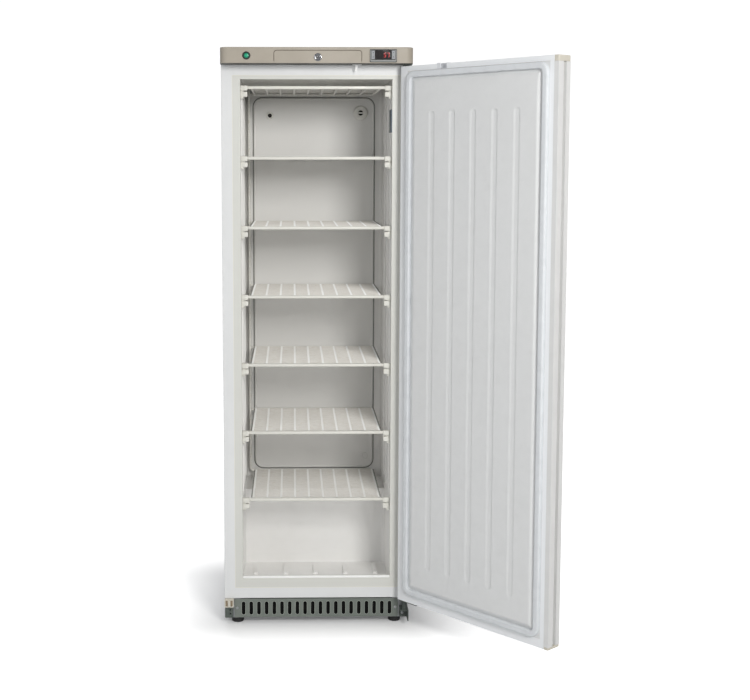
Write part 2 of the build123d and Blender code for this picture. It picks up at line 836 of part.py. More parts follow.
with BuildPart() as spare_hinge_plate:
    x0, x1 = -side_x + sheet, -side_x + plate_width
    block((x0, grille_y - hinge_plate_thickness, foot_gap + 1), (x1, grille_y, arm_top_z - 2))
    fillet(spare_hinge_plate.edges().filter_by(Axis.Y), radius=2)
    for z in plate_bolt_z:
        rod(
            (-plate_bolt_x, grille_y + 1, z),
            (0, -1, 0),
            plate_bolt_radius,
            hinge_plate_thickness + 2,
            Mode.SUBTRACT,
        )
save(spare_hinge_plate, "spare_hinge_plate")

with BuildPart() as spare_hinge_cover:
    x0, x1 = -side_x, -side_x + plate_width + 2
    low_z, high_z = arm_top_z + 1, rail_bottom_z - 0.5
    cover_front = frame_y - cover_depth
    block((x0, cover_front, low_z), (x1, frame_y, high_z))
    fillet(spare_hinge_cover.edges().filter_by(Axis.Y), radius=3)
    for hand in (-1, 1):
        with Locations(((x0 + x1) / 2 + hand * cover_recess_shift, cover_front, (low_z + high_z) / 2)):
            Box(
                cover_recess_width,
                2 * cover_recess_depth,
                high_z - low_z - cover_recess_width,
                mode=Mode.SUBTRACT,
            )
    rod(((x0 + x1) / 2, cover_front + 2, low_z + 2), (0, 0, 1), cover_pin_radius, high_z - low_z - 4)
save(spare_hinge_cover, "spare_hinge_cover")


# ------------------------------------------------------------------ fascia and its controls
inner_front_y = front_y + fascia_wall
switch_x = -side_x + switch_from_left
switch_z = fascia_bottom_z + switch_height
controller_x = side_x - controller_from_right
controller_z = fascia_bottom_z + controller_lift
cutout_half_x = controller_width / 2 - bezel_margin
cutout_half_z = controller_height / 2 - bezel_margin
hook_slot_low = hook_x - hook_slot_left
hook_slot_high = hook_x + hook_slot_right
guide_front_y = hook_y - guide_front
guide_back_y = hook_y + guide_back
link_y = hook_y - link_setback

with BuildPart() as control_fascia:
    depth = frame_y - front_y
    with BuildSketch(Plane.XY.offset(fascia_bottom_z)) as shape:
        with Locations((0, (front_y + frame_y) / 2)):
            Rectangle(cabinet_width, depth)
        fillet(shape.vertices().group_by(Axis.Y)[0], radius=fascia_end_radius)
    extrude(amount=fascia_height)
    front_rim = control_fascia.edges().group_by(Axis.Z)[-1].filter_by(lambda e: e.center().Y < frame_y - 1)
    fillet(front_rim, radius=2)
    with BuildSketch(Plane.XY.offset(fascia_bottom_z + fascia_wall)) as hollow:
        with Locations((0, (inner_front_y + frame_y) / 2)):
            Rectangle(cabinet_width - 2 * fascia_wall, depth - fascia_wall)
        fillet(hollow.vertices().group_by(Axis.Y)[0], radius=fascia_end_radius - fascia_wall)
    extrude(amount=fascia_height - 2 * fascia_wall, mode=Mode.SUBTRACT)
    # outline groove of the bare middle panel
    with BuildSketch(front_plane(lock_shift, front_y + badge_groove, fascia_bottom_z)):
        with Locations((0, badge_height / 2)):
            RectangleRounded(badge_width, badge_height, badge_radius)
        with Locations((0, badge_height / 2 - badge_line)):
            RectangleRounded(
                badge_width - 2 * badge_line, badge_height, badge_radius - badge_line, mode=Mode.SUBTRACT
            )
        with Locations((0, -1)):
            Rectangle(badge_width + 10, 2 * badge_line, mode=Mode.SUBTRACT)
    extrude(amount=badge_groove + 1, mode=Mode.SUBTRACT)
    # holes for the switch, the lock and the controller, and the slot for the hook
    rod((switch_x, front_y - 1, switch_z), (0, 1, 0), switch_bezel_radius - 2, 6, Mode.SUBTRACT)
    rod((lock_shift, front_y - 1, lock_z), (0, 1, 0), lock_body_radius, 6, Mode.SUBTRACT)
    block(
        (controller_x - cutout_half_x, front_y - 1, controller_z - cutout_half_z),
        (controller_x + cutout_half_x, inner_front_y + 1, controller_z + cutout_half_z),
        mode=Mode.SUBTRACT,
    )
    block(
        (hook_slot_low - 2, hook_y - 5, fascia_bottom_z - 1),
        (hook_slot_high + 2, hook_y + 7, fascia_bottom_z + fascia_wall + 1),
        mode=Mode.SUBTRACT,
    )
    # posts above and below the lock bar that hold it level
    bar_low_z = bar_link_z - link_half_height - post_play
    bar_high_z = bar_link_z + link_half_height + post_play
    for share in (0.3, 0.75):
        post_x = lock_shift + share * (hook_x - lock_shift)
        low_z, high_z = fascia_bottom_z + fascia_wall, cabinet_height - fascia_wall
        x0, x1 = post_x - post_half_width, post_x + post_half_width
        block((x0, link_y - 3, low_z), (x1, link_y + 4, bar_low_z))
        block((x0, link_y - 3, bar_high_z), (x1, link_y + 4, high_z))
save(control_fascia, "control_fascia")

with BuildPart() as switch_bezel:
    rod((switch_x, front_y - bezel_rise, switch_z), (0, 1, 0), switch_bezel_radius, bezel_rise)
    fillet(switch_bezel.edges().group_by(Axis.Y)[0], radius=1.2)
    rod((switch_x, front_y - 1, switch_z), (0, 1, 0), switch_bezel_radius - bezel_rim, bezel_length + 1)
    rod(
        (switch_x, front_y - bezel_rise - 0.5, switch_z),
        (0, 1, 0),
        switch_button_radius + button_play,
        bezel_length - 1,
        Mode.SUBTRACT,
    )
save(switch_bezel, "switch_bezel")

with BuildPart() as switch_button:
    rod((switch_x, front_y - button_rise, switch_z), (0, 1, 0), switch_button_radius, button_length)
    fillet(switch_button.edges().group_by(Axis.Y)[0], radius=1.5)
save(switch_button, "switch_button")

with BuildPart() as lock_barrel:
    rod((lock_shift, front_y - 1.5, lock_z), (0, 1, 0), lock_flange_radius, 1.5)
    chamfer(lock_barrel.edges().group_by(Axis.Y)[0], length=0.7)
    rod((lock_shift, front_y - 0.5, lock_z), (0, 1, 0), lock_body_radius - 0.1, barrel_length)
    rod(
        (lock_shift, front_y - 2, lock_z),
        (0, 1, 0),
        plug_radius + running_play,
        barrel_length + 4,
        Mode.SUBTRACT,
    )
save(lock_barrel, "lock_barrel")

cam_y = link_y - cam_thickness - cam_gap
with BuildPart() as lock_plug:
    rod((lock_shift, front_y - 1.8, lock_z), (0, 1, 0), plug_radius, cam_y - front_y + 1.8)
    with Locations((lock_shift, front_y, lock_z)):
        Box(1.8, 8, 8, mode=Mode.SUBTRACT)
    arm = cam_pin_arm * sin(radians(45))
    rod((lock_shift, cam_y - cam_thickness, lock_z), (0, 1, 0), cam_pin_arm + pin_r + 1, cam_thickness)
    rod((lock_shift + arm, cam_y - 1, lock_z + arm), (0, 1, 0), pin_r, 3.5 + link_thickness + 1.5)
save(lock_plug, "lock_plug")

tail_x = hook_x + hook_arm * sin(radians(hook_tail_rest_deg))
with BuildPart() as lock_bar:
    low_x = lock_shift + arm - link_end
    high_x = tail_x + link_end
    block(
        (low_x, link_y, bar_link_z - link_half_height),
        (high_x, link_y + link_thickness, bar_link_z + link_half_height),
    )
    fillet(lock_bar.edges().filter_by(Axis.Y), radius=4)
    slot_center_z = lock_z + (cam_pin_arm + arm) / 2
    for x, z, tall in ((lock_shift + arm, slot_center_z, 7.5), (tail_x, bar_link_z + 0.3, 6.0)):
        with BuildSketch(Plane(origin=(x, link_y - 1, z), x_dir=(0, 0, 1), z_dir=(0, 1, 0))) as slot:
            SlotOverall(tall, 2 * (pin_r + link_play))
        extrude(slot.sketch, amount=link_thickness + 2, mode=Mode.SUBTRACT)
save(lock_bar, "lock_bar")

with BuildPart() as lock_hook:
    with BuildSketch(front_plane(hook_x, hook_y + hook_thickness / 2, hook_pivot_z)):
        Circle(eye_radius)
        with BuildLine():
            half = stem_width / 2
            stem = [(-half, 0), (-half - 1, -hook_reach * 0.55), (-half - 4, -hook_reach)]
            edge = [(half - 6, -hook_reach), (half - 0.5, -hook_reach * 0.5), (half, 0)]
            Polyline(*stem, *edge, close=True)
        make_face()
        with BuildLine():
            tail = (hook_arm * sin(radians(hook_tail_rest_deg)), hook_arm * cos(radians(hook_tail_rest_deg)))
            Polyline((-3, 0), (tail[0] - 3.2, tail[1]), (tail[0] + 3.2, tail[1]), (3, 0), close=True)
        make_face()
        with Locations(tail):
            Circle(3.2)
    extrude(amount=hook_thickness)
    rod((tail_x, hook_y, bar_link_z), (0, -1, 0), pin_r, hook_y - link_y + 1)
    rod(
        (hook_x, hook_y + 5, hook_pivot_z),
        (0, -1, 0),
        hook_pin_radius + running_play,
        12,
        Mode.SUBTRACT,
    )
save(lock_hook, "lock_hook")

with BuildPart() as hook_guide:
    block(
        (hook_slot_low - 8, guide_front_y, fascia_bottom_z - guide_thickness),
        (hook_slot_high + 3, guide_back_y, fascia_bottom_z),
    )
    block(
        (hook_slot_low - 1.5, hook_y + 3.5, fascia_bottom_z - guide_thickness),
        (hook_slot_high + 1.5, hook_y + 6.5, hook_pivot_z + 6),
    )
    block(
        (hook_slot_low, hook_y - 4, fascia_bottom_z - 3),
        (hook_slot_high, hook_y + 3.5, fascia_bottom_z + 1),
        mode=Mode.SUBTRACT,
    )
    rod((hook_x, hook_y + 4, hook_pivot_z), (0, -1, 0), hook_pin_radius, 8)
save(hook_guide, "hook_guide")

window_z = controller_z + window_rise
key_shift = window_width / 2 + window_key_gap + key_width / 2
controller_face_y = front_y - controller_rim

with BuildPart() as controller_housing:
    rim_plane = front_plane(controller_x, front_y, controller_z)
    rounded_plate(rim_plane, controller_width, controller_height, 3, controller_rim)
    fillet(controller_housing.edges().group_by(Axis.Y)[0], radius=0.8)
    half_x, half_z = cutout_half_x - body_play, cutout_half_z - body_play
    block(
        (controller_x - half_x, front_y - 1, controller_z - half_z),
        (controller_x + half_x, front_y + controller_depth, controller_z + half_z),
    )
    with Locations((controller_x, controller_face_y, window_z)):
        Box(window_width, 2 * window_recess, window_height, mode=Mode.SUBTRACT)
    for hand in (-1, 1):
        with Locations((controller_x + hand * key_shift, controller_face_y, window_z)):
            Box(key_width + 2 * key_play, 2 * key_recess, key_height + 2 * key_play, mode=Mode.SUBTRACT)
save(controller_housing, "controller_housing")

with BuildPart() as display_window:
    with Locations((controller_x, controller_face_y + window_recess / 2, window_z)):
        Box(window_width - window_play, window_recess - window_play, window_height - window_play)
save(display_window, "display_window")


def controller_key(hand):
    """Rocking key pad beside the display: a shallow dish in each half and a rib behind to rock on."""
    with BuildPart() as key:
        centre = (controller_x + hand * key_shift, controller_face_y + key_thickness / 2 - 0.4, window_z)
        with Locations(centre):
            Box(key_width, key_thickness, key_height)
        fillet(key.edges().group_by(Axis.Y)[0], radius=0.6)
        rib_length = controller_face_y + key_recess - running_play - centre[1]
        with Locations((centre[0], centre[1] + rib_length / 2, window_z)):
            Box(key_width - 2, rib_length, 2)
        for half in (-1, 1):
            dish = (centre[0], centre[1] - key_thickness / 2 - 7.6, centre[2] + half * key_height / 4)
            with Locations(dish):
                Sphere(8, mode=Mode.SUBTRACT)
    return key


save(controller_key(-1), "controller_key_left")
save(controller_key(1), "controller_key_right")


# ------------------------------------------------------------------ door
keeper_t = hinge_x - hook_x
keeper_low_t = keeper_t - keeper_inner_side
keeper_high_t = keeper_t + keeper_outer_side
keeper_bottom_z = panel_high_z + window_grow


def panel_form(base_n, face_n, shrink):
    """Raised panel of the door's inside, in the door's axes: a rounded rectangle that slopes in."""
    with BuildPart() as form:
        with BuildSketch(front_plane(mid_t, base_n, panel_mid_z)):
            RectangleRounded(2 * (panel_half - shrink), panel_tall - 2 * shrink, panel_corner)
        with BuildSketch(front_plane(mid_t, face_n, panel_mid_z)):
            inset = shrink + panel_slope
            RectangleRounded(2 * (panel_half - inset), panel_tall - 2 * inset, panel_corner)
        loft()
    return form.part


def panel_grooves(first_n, last_n, grow):
    """Row of upright stadium-shaped bars between two depths, in the door's axes, for its grooves."""
    low_z = door_bottom_z + groove_above_bottom
    high_z = door_top_z - groove_below_top
    with BuildPart() as bars:
        with BuildSketch(front_plane(mid_t, first_n, (low_z + high_z) / 2)):
            with GridLocations(groove_pitch, 1, groove_count, 1):
                SlotOverall(high_z - low_z + 2 * grow, groove_width + 2 * grow, rotation=90)
        extrude(amount=first_n - last_n)
    return bars.part


def door_slab(inset, low_n, high_n, low_z, high_z):
    """Upright slab across the door, in its axes, with the two edges at the hinge rounded."""
    low_t, high_t = near_t + inset, skin_far_t - inset
    with BuildPart() as slab:
        with BuildSketch(Plane.XY.offset(low_z)) as section:
            with Locations(((low_t + high_t) / 2, (low_n + high_n) / 2)):
                Rectangle(high_t - low_t, high_n - low_n)
            fillet(section.vertices().group_by(Axis.X)[0], radius=skin_radius - inset)
        extrude(amount=high_z - low_z)
    return slab.part


def cut_keeper_and_bushes():
    """Cuts the room for the keeper and for both hinge bushes, in the door's axes."""
    block(
        (keeper_low_t, inner_n - 1, keeper_bottom_z),
        (keeper_high_t, inner_n + keeper_depth, door_top_z + 1),
        mode=Mode.SUBTRACT,
    )
    for z in (door_bottom_z, door_top_z - bush_length):
        with Locations((0, 0, z + bush_length / 2)):
            Cylinder(bush_radius, bush_length, mode=Mode.SUBTRACT)


inside_low_z = door_bottom_z + sheet
inside_high_z = door_top_z - sheet
inside_outer_n = outer_n - sheet
foam_n = plate_n + liner_wall
groove_floor_n = panel_face_n + groove_depth

with BuildPart(door_frame) as door_skin:
    add(door_slab(0, inner_n, outer_n, door_bottom_z, door_top_z))
    add(door_slab(sheet, plate_n, inside_outer_n, inside_low_z, inside_high_z), mode=Mode.SUBTRACT)
    block(
        (mid_t - panel_half - window_grow, inner_n - 1, panel_low_z - window_grow),
        (mid_t + panel_half + window_grow, plate_n + 0.5, panel_high_z + window_grow),
        mode=Mode.SUBTRACT,
    )
    cut_keeper_and_bushes()
save(door_skin, "door_skin")

with BuildPart(door_frame) as door_foam:
    add(door_slab(sheet, plate_n, inside_outer_n, inside_low_z, inside_high_z))
    block(
        (near_t + skin_radius, plate_n - 1, inside_low_z),
        (skin_far_t, foam_n, inside_high_z),
        mode=Mode.SUBTRACT,
    )
    add(panel_form(foam_n, panel_face_n + liner_wall, liner_wall))
    add(panel_grooves(groove_floor_n + liner_wall, panel_face_n, liner_wall), mode=Mode.SUBTRACT)
    cut_keeper_and_bushes()
save(door_foam, "door_foam")

with BuildPart(door_frame) as door_liner:
    block((near_t + skin_radius, plate_n, inside_low_z), (skin_far_t - sheet, foam_n, inside_high_z))
    add(panel_form(plate_n, panel_face_n, 0))
    add(panel_form(foam_n, panel_face_n + liner_wall, liner_wall), mode=Mode.SUBTRACT)
    add(panel_grooves(groove_floor_n + liner_wall, panel_face_n + 0.5, liner_wall))
    add(panel_grooves(groove_floor_n, panel_face_n - 1, 0), mode=Mode.SUBTRACT)
    cut_keeper_and_bushes()
save(door_liner, "door_liner")

with BuildPart() as door_gasket:
    with BuildSketch(door_face(mid_t, plate_n, panel_mid_z)):
        outer_grow = gasket_inner + gasket_width
        RectangleRounded(
            2 * (panel_half + outer_grow), panel_tall + 2 * outer_grow, panel_corner + outer_grow
        )
        RectangleRounded(
            2 * (panel_half + gasket_inner),
            panel_tall + 2 * gasket_inner,
            panel_corner + gasket_inner,
            mode=Mode.SUBTRACT,
        )
    extrude(amount=plate_n - gasket_face_n)
    sealing_face = door_gasket.faces().filter_by(
        lambda face: abs(door_frame.to_local_coords(face.center()).Y - gasket_face_n) < 0.01
    )
    fillet(sealing_face.edges(), radius=gasket_edge_radius)
save(door_gasket, "door_gasket")

handle_low_z = door_bottom_z + handle_cap_bottom
handle_high_z = door_top_z - handle_cap_top
grip_outer_n = outer_n - grip_from_front
grip_inner_n = grip_outer_n - grip_width

with BuildPart() as door_handle:
    with BuildSketch(door_level(handle_low_z)) as section:
        with Locations(((skin_far_t + far_t) / 2, (inner_n + outer_n) / 2)):
            Rectangle(handle_depth, outer_n - inner_n)
        free_corners = section.vertices().filter_by(
            lambda v: door_frame.to_local_coords(v.center()).X > far_t - 1
        )
        fillet(free_corners, radius=handle_edge_radius)
        with Locations((far_t - grip_depth / 2 + 1, (grip_inner_n + grip_outer_n) / 2)):
            RectangleRounded(grip_depth + 2, grip_width, handle_edge_radius, mode=Mode.SUBTRACT)
    extrude(amount=handle_high_z - handle_low_z)
save(door_handle, "door_handle")

with BuildPart() as door_handle_caps:
    for low_z, tall in ((door_bottom_z, handle_cap_bottom), (handle_high_z, handle_cap_top)):
        with BuildSketch(door_level(low_z)) as section:
            with Locations(((skin_far_t + far_t) / 2, (inner_n + outer_n) / 2)):
                RectangleRounded(handle_depth, outer_n - inner_n + 0.6, handle_edge_radius)
        extrude(amount=tall)
save(door_handle_caps, "door_handle_caps")

with BuildPart(door_frame) as door_hinge_bushes:
    for z in (door_bottom_z, door_top_z - bush_length):
        with Locations((0, 0, z + bush_length / 2)):
            Cylinder(bush_radius, bush_length)
            Cylinder(pin_radius + pin_play, bush_length + 2, mode=Mode.SUBTRACT)
save(door_hinge_bushes, "door_hinge_bushes")

with BuildPart(door_frame) as door_hinge_plate:
    block(
        (near_t + 8, inner_n + 1, door_bottom_z - door_plate_thickness),
        (hinge_plate_length, inner_n + 1 + hinge_plate_width, door_bottom_z),
    )
    with Locations((0, 0, door_bottom_z)):
        Cylinder(pin_radius + pin_play, 4 * door_plate_thickness, mode=Mode.SUBTRACT)
save(door_hinge_plate, "door_hinge_plate")

with BuildPart(door_frame) as door_keeper:
    top_z = door_top_z + keeper_stand
    back_n = inner_n + keeper_depth
    block((keeper_low_t, inner_n, keeper_bottom_z), (keeper_high_t, back_n, top_z))
    block(
        (keeper_low_t + keeper_wall, inner_n + 2, keeper_bottom_z + keeper_wall),
        (keeper_high_t - keeper_wall, back_n - keeper_wall, top_z + 1),
        mode=Mode.SUBTRACT,
    )
    block(
        (keeper_low_t + keeper_lip, inner_n - 1, keeper_bottom_z + keeper_wall),
        (keeper_high_t - keeper_wall, inner_n + 3, top_z + 1),
        mode=Mode.SUBTRACT,
    )
save(door_keeper, "door_keeper")


# ------------------------------------------------------------------ machine bay and condenser
compressor_y = (bay_front_y + panel_y) / 2 + 2
compressor_plate_z = bay_floor_z + mount_height

with BuildPart() as compressor:
    plate = Plane(origin=(compressor_x, compressor_y, compressor_plate_z))
    rounded_plate(plate, mount_span_x + 26, mount_span_y + 26, 12, 3)
    shell_z = compressor_plate_z + 3
    with BuildSketch(Plane(origin=(compressor_x, compressor_y, shell_z - 1))) as shell_base:
        Ellipse(shell_long, shell_short)
    extrude(shell_base.sketch, amount=shell_tall + 1)
    fillet(compressor.edges().group_by(Axis.Z)[-1], radius=34)
    with BuildSketch(Plane(origin=(compressor_x, compressor_y, shell_z + shell_tall * 0.55))) as waist:
        Ellipse(shell_long + 5, shell_short + 5)
    extrude(waist.sketch, amount=4)
    with BuildSketch(Plane(origin=(compressor_x, compressor_y, shell_z + shell_wall))) as inside:
        Ellipse(shell_long - shell_wall, shell_short - shell_wall)
    extrude(inside.sketch, amount=shell_tall - 42, mode=Mode.SUBTRACT)
    rod((compressor_x - 60, compressor_y, shell_z + shell_tall - 30), (0, 0, 1), 4, 50)
    rod((compressor_x + 50, compressor_y + 20, shell_z + shell_tall - 30), (0, 0, 1), 3, 55)
    with Locations(plate):
        with GridLocations(mount_span_x, mount_span_y, 2, 2):
            Hole(mount_neck_radius + mount_neck_play)
save(compressor, "compressor")

with BuildPart() as compressor_mounts:
    with BuildSketch(Plane(origin=(compressor_x, compressor_y, bay_floor_z))) as grommets:
        with GridLocations(mount_span_x, mount_span_y, 2, 2):
            Circle(mount_radius)
    extrude(grommets.sketch, amount=mount_height)
    with BuildSketch(Plane(origin=(compressor_x, compressor_y, bay_floor_z + mount_height - 1))) as necks:
        with GridLocations(mount_span_x, mount_span_y, 2, 2):
            Circle(mount_neck_radius)
    extrude(necks.sketch, amount=8)
save(compressor_mounts, "compressor_mounts")

relay_x = compressor_x + shell_long + relay_gap
relay_z = shell_z + relay_lift
with BuildPart() as relay_box:
    block(
        (relay_x, compressor_y - relay_depth / 2, relay_z),
        (relay_x + relay_width, compressor_y + relay_depth / 2, relay_z + relay_height),
    )
    fillet(relay_box.edges(), radius=4)
save(relay_box, "relay_box")

drier_y = compressor_y
drier_z = bay_floor_z + drier_lift
with BuildPart() as filter_drier:
    rod((drier_x, drier_y, drier_z), (0, 0, 1), drier_radius, drier_length)
    fillet(filter_drier.edges().filter_by(GeomType.CIRCLE), radius=drier_radius / 2)
    start = (drier_x, drier_y, drier_z - drier_tube_reach)
    rod(start, (0, 0, 1), drier_tube_radius, drier_length + 2 * drier_tube_reach)
save(filter_drier, "filter_drier")

condenser_y = back_y - condenser_tube_radius - 2 * condenser_wire_radius
condenser_half = side_x - condenser_edge
condenser_low_z = bay_top_z + condenser_lift
condenser_rows = int((body_top_z - condenser_top_gap - condenser_low_z) / condenser_pitch) + 1
condenser_high_z = condenser_low_z + (condenser_rows - 1) * condenser_pitch
strap_x = condenser_half - strap_inset

with BuildPart() as condenser:
    rows = [condenser_low_z + i * condenser_pitch for i in range(condenser_rows)]
    tail_z = bay_top_z - condenser_tail
    points = [(-condenser_half, condenser_y, tail_z), (-condenser_half, condenser_y, rows[0])]
    for i in range(condenser_rows - 1):
        turn_x = condenser_half if i % 2 == 0 else -condenser_half
        points += [(turn_x, condenser_y, rows[i]), (turn_x, condenser_y, rows[i + 1])]
    end_x = condenser_half if condenser_rows % 2 else -condenser_half
    points.append((end_x, condenser_y, rows[-1]))
    bends = [12.0] + [condenser_pitch / 2 - 0.05] * (2 * (condenser_rows - 1))
    with BuildLine() as route:
        FilletPolyline(*points, radius=bends)
    with BuildSketch(Plane(origin=route.line @ 0, z_dir=route.line % 0)):
        Circle(condenser_tube_radius)
    sweep()
    for hand in (-1, 1):
        low_x = hand * strap_x - strap_width / 2
        strap_y = condenser_y - condenser_tube_radius
        block(
            (low_x, strap_y - 1.7, condenser_low_z - 20),
            (low_x + strap_width, strap_y + 0.3, condenser_high_z + 20),
        )
        for z in (condenser_low_z + 20, condenser_high_z - 50):
            block((low_x, panel_y, z), (low_x + strap_width, strap_y, z + 2))
save(condenser, "condenser")

with BuildPart() as condenser_wires:
    reach = condenser_tube_radius + condenser_wire_radius + wire_gap
    wire_columns = int(2 * (condenser_half - condenser_pitch / 2) / condenser_wire_pitch)
    with BuildSketch(Plane.XY.offset(condenser_low_z - 12)):
        with Locations((0, condenser_y + reach)):
            with GridLocations(condenser_wire_pitch, 1, wire_columns, 1):
                Circle(condenser_wire_radius)
    extrude(amount=condenser_high_z - condenser_low_z + 24)
save(condenser_wires, "condenser_wires")

with BuildPart() as power_inlet:
    box_y = chassis_back_y - base_sheet
    low_x, high_x = gland_x - inlet_width / 2, gland_x + inlet_width / 2
    gland_z = bay_floor_z + inlet_gland_rise
    block((low_x, box_y - inlet_depth, bay_floor_z), (high_x, box_y, bay_floor_z + inlet_height))
    fillet(power_inlet.edges().filter_by(Axis.Z), radius=4)
    rod((gland_x, box_y - 2, gland_z), (0, 1, 0), gland_radius, 14)
    rod((gland_x, box_y - 12, gland_z), (0, 1, 0), gland_bore, 26, Mode.SUBTRACT)
save(power_inlet, "power_inlet")


# ------------------------------------------------------------------ screws
def screw(place, direction, grip):
    """Pan-head screw: the head stands on the surface at place and the shank goes into it."""
    x, y, z = place
    head = (x - direction[0] * screw_head, y - direction[1] * screw_head, z)
    rod(head, direction, screw_head_radius, screw_head)
    rod(place, direction, screw_radius, grip)


with BuildPart() as case_screws:
    for hand in (-1, 1):
        screw((hand * grille_screw_x, frame_y, grille_screw_z), (0, 1, 0), screw_grip)
        for z in back_screw_z:
            screw((hand * back_screw_x, panel_y, z), (0, -1, 0), screw_grip)
    for z in plate_bolt_z:
        screw((plate_bolt_x, grille_y - hinge_plate_thickness, z), (0, 1, 0), hinge_plate_thickness + 5)
save(case_screws, "case_screws")
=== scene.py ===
import json
import math

import bmesh
import bpy
import numpy as np
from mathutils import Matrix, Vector


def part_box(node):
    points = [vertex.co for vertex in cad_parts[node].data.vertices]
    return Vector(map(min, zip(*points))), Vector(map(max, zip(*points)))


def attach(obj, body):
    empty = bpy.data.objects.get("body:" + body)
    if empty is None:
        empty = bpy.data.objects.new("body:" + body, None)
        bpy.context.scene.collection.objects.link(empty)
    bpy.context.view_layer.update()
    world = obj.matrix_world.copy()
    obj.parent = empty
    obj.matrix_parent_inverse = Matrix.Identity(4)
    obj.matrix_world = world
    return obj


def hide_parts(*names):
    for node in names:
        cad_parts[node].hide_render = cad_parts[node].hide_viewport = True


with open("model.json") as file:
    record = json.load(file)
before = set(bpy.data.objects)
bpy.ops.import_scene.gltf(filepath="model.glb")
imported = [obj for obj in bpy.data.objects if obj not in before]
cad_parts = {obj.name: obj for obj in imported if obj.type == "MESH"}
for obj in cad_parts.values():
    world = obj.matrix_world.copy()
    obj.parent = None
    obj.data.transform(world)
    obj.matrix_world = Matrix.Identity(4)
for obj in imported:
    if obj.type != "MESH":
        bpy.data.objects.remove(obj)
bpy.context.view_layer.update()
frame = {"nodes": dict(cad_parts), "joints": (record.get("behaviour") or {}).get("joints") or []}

# Upright freezer with its door open, metres. X runs to the right, Y to the back and Z up.

# ------------------------------------------------------------------ places taken from the frame
MM = 0.001
UP = np.array([0.0, 0.0, 1.0])
TO_FRONT = np.array([0.0, -1.0, 0.0])
TO_BACK = -TO_FRONT
HANDS = (-1, 1)  # left and right


def corners(node):
    """Lowest and highest corner of a node, as arrays."""
    low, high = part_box(node)
    return np.array(low), np.array(high)


def middle(node, y=None):
    """Middle of a node's box, or that point moved to the plane y."""
    point = sum(corners(node)) / 2
    if y is not None:
        point[1] = y
    return point


DOOR_OPEN = math.radians(131.5)
HINGE = next(j["pos_m"] for j in frame["joints"] if j["name"] == "door_swing")
DOOR_TURN = math.pi + DOOR_OPEN
ALONG = np.array([math.cos(DOOR_TURN), math.sin(DOOR_TURN), 0.0])
OUTWARD = np.array([-math.sin(DOOR_TURN), math.cos(DOOR_TURN), 0.0])

FASCIA_FRONT = corners("control_fascia")[0][1]
FASCIA_UNDERSIDE = corners("control_fascia")[0][2] + 0.8 * MM
FRAME_FRONT = corners("front_rails")[0][1]
STORE_HALF = corners("bar_clips")[1][0]  # middle of the store room to its side wall
SILL_TOP = 157 * MM
MOUTH_TOP = corners("riser_tubes")[1][2]
COLD_WALL = corners("vent_disc")[1][1]  # back wall's plane, with the raised panel
BAY_X, BAY_Y = middle("compressor")[:2]
CONDENSER_TUBE = 2.5 * MM
CONDENSER_Y = corners("condenser")[1][1] - CONDENSER_TUBE

SHELVES = [f"evaporator_shelf_{i}" for i in range(1, 8)]
TUBE_RADIUS = 4 * MM
TUBE_COLUMNS = 10
OUTER_TUBE = corners(SHELVES[-1])[1][0] - TUBE_RADIUS  # middle of a shelf to its outermost run of tube


def in_door(t, n, z):
    """Points given along the door, out of its front and up, as world points."""
    origin = np.array([HINGE[0], HINGE[1], 0.0])
    t, n, z = (np.asarray(v, float)[..., None] for v in (t, n, z))
    return origin + t * ALONG + n * OUTWARD + z * UP


# ------------------------------------------------------------------ surfaces
def mend(mesh):
    """Merges doubled points, drops faces without area and turns every face outwards."""
    work = bmesh.new()
    work.from_mesh(mesh)
    bmesh.ops.remove_doubles(work, verts=work.verts, dist=2e-6)
    bmesh.ops.dissolve_degenerate(work, dist=1e-7, edges=work.edges)
    bmesh.ops.recalc_face_normals(work, faces=work.faces)
    work.to_mesh(mesh)
    work.free()


def surface(name, patches, crease=40.0):
    """One mesh from grids of points. Each patch is (points[u, v, 3], closed along u, closed along v);
    neighbours in a grid are joined by quads, and edges sharper than the crease angle stay sharp."""
    points, quads, first = [], [], 0
    for grid, closed_u, closed_v in patches:
        nu, nv = grid.shape[:2]
        index = first + np.arange(nu * nv).reshape(nu, nv)
        rows = np.vstack([index, index[:1]]) if closed_u else index
        cells = np.hstack([rows, rows[:, :1]]) if closed_v else rows
        square = [cells[:-1, :-1], cells[1:, :-1], cells[1:, 1:], cells[:-1, 1:]]
        quads.append(np.stack(square, axis=-1).reshape(-1, 4))
        points.append(grid.reshape(-1, 3))
        first += nu * nv
    mesh = bpy.data.meshes.new(name)
    mesh.from_pydata(np.vstack(points).tolist(), [], np.vstack(quads).tolist())
    mend(mesh)
    mesh.shade_smooth()
    mesh.set_sharp_from_angle(angle=math.radians(crease))
    piece = bpy.data.objects.new(name, mesh)
    bpy.context.scene.collection.objects.link(piece)
    return piece


def unit(vectors):
    """Vectors scaled to length one along the last axis."""
    return vectors / np.maximum(np.linalg.norm(vectors, axis=-1, keepdims=True), 1e-12)


def carried(profile, path, side, lift, closed_path=False):
    """A closed profile (a, b) carried along a path: point = path + a * side + b * lift, where side and
    lift are one vector each per path point. Open paths are closed by drawing both ends to their middle."""
    a, b = profile[:, 0], profile[:, 1]
    grid = path[:, None] + a[None, :, None] * side[:, None] + b[None, :, None] * lift[:, None]
    if not closed_path:
        middles = grid.mean(axis=1, keepdims=True)
        grid = np.concatenate([np.repeat(middles[:1], len(a), 1), grid, np.repeat(middles[-1:], len(a), 1)])
    return grid, closed_path, True


def ring(radius, sides):
    """Circle as a profile: (r cos q, r sin q)."""
    q = np.arange(sides) * 2 * math.pi / sides
    return radius * np.stack([np.cos(q), np.sin(q)], axis=1)


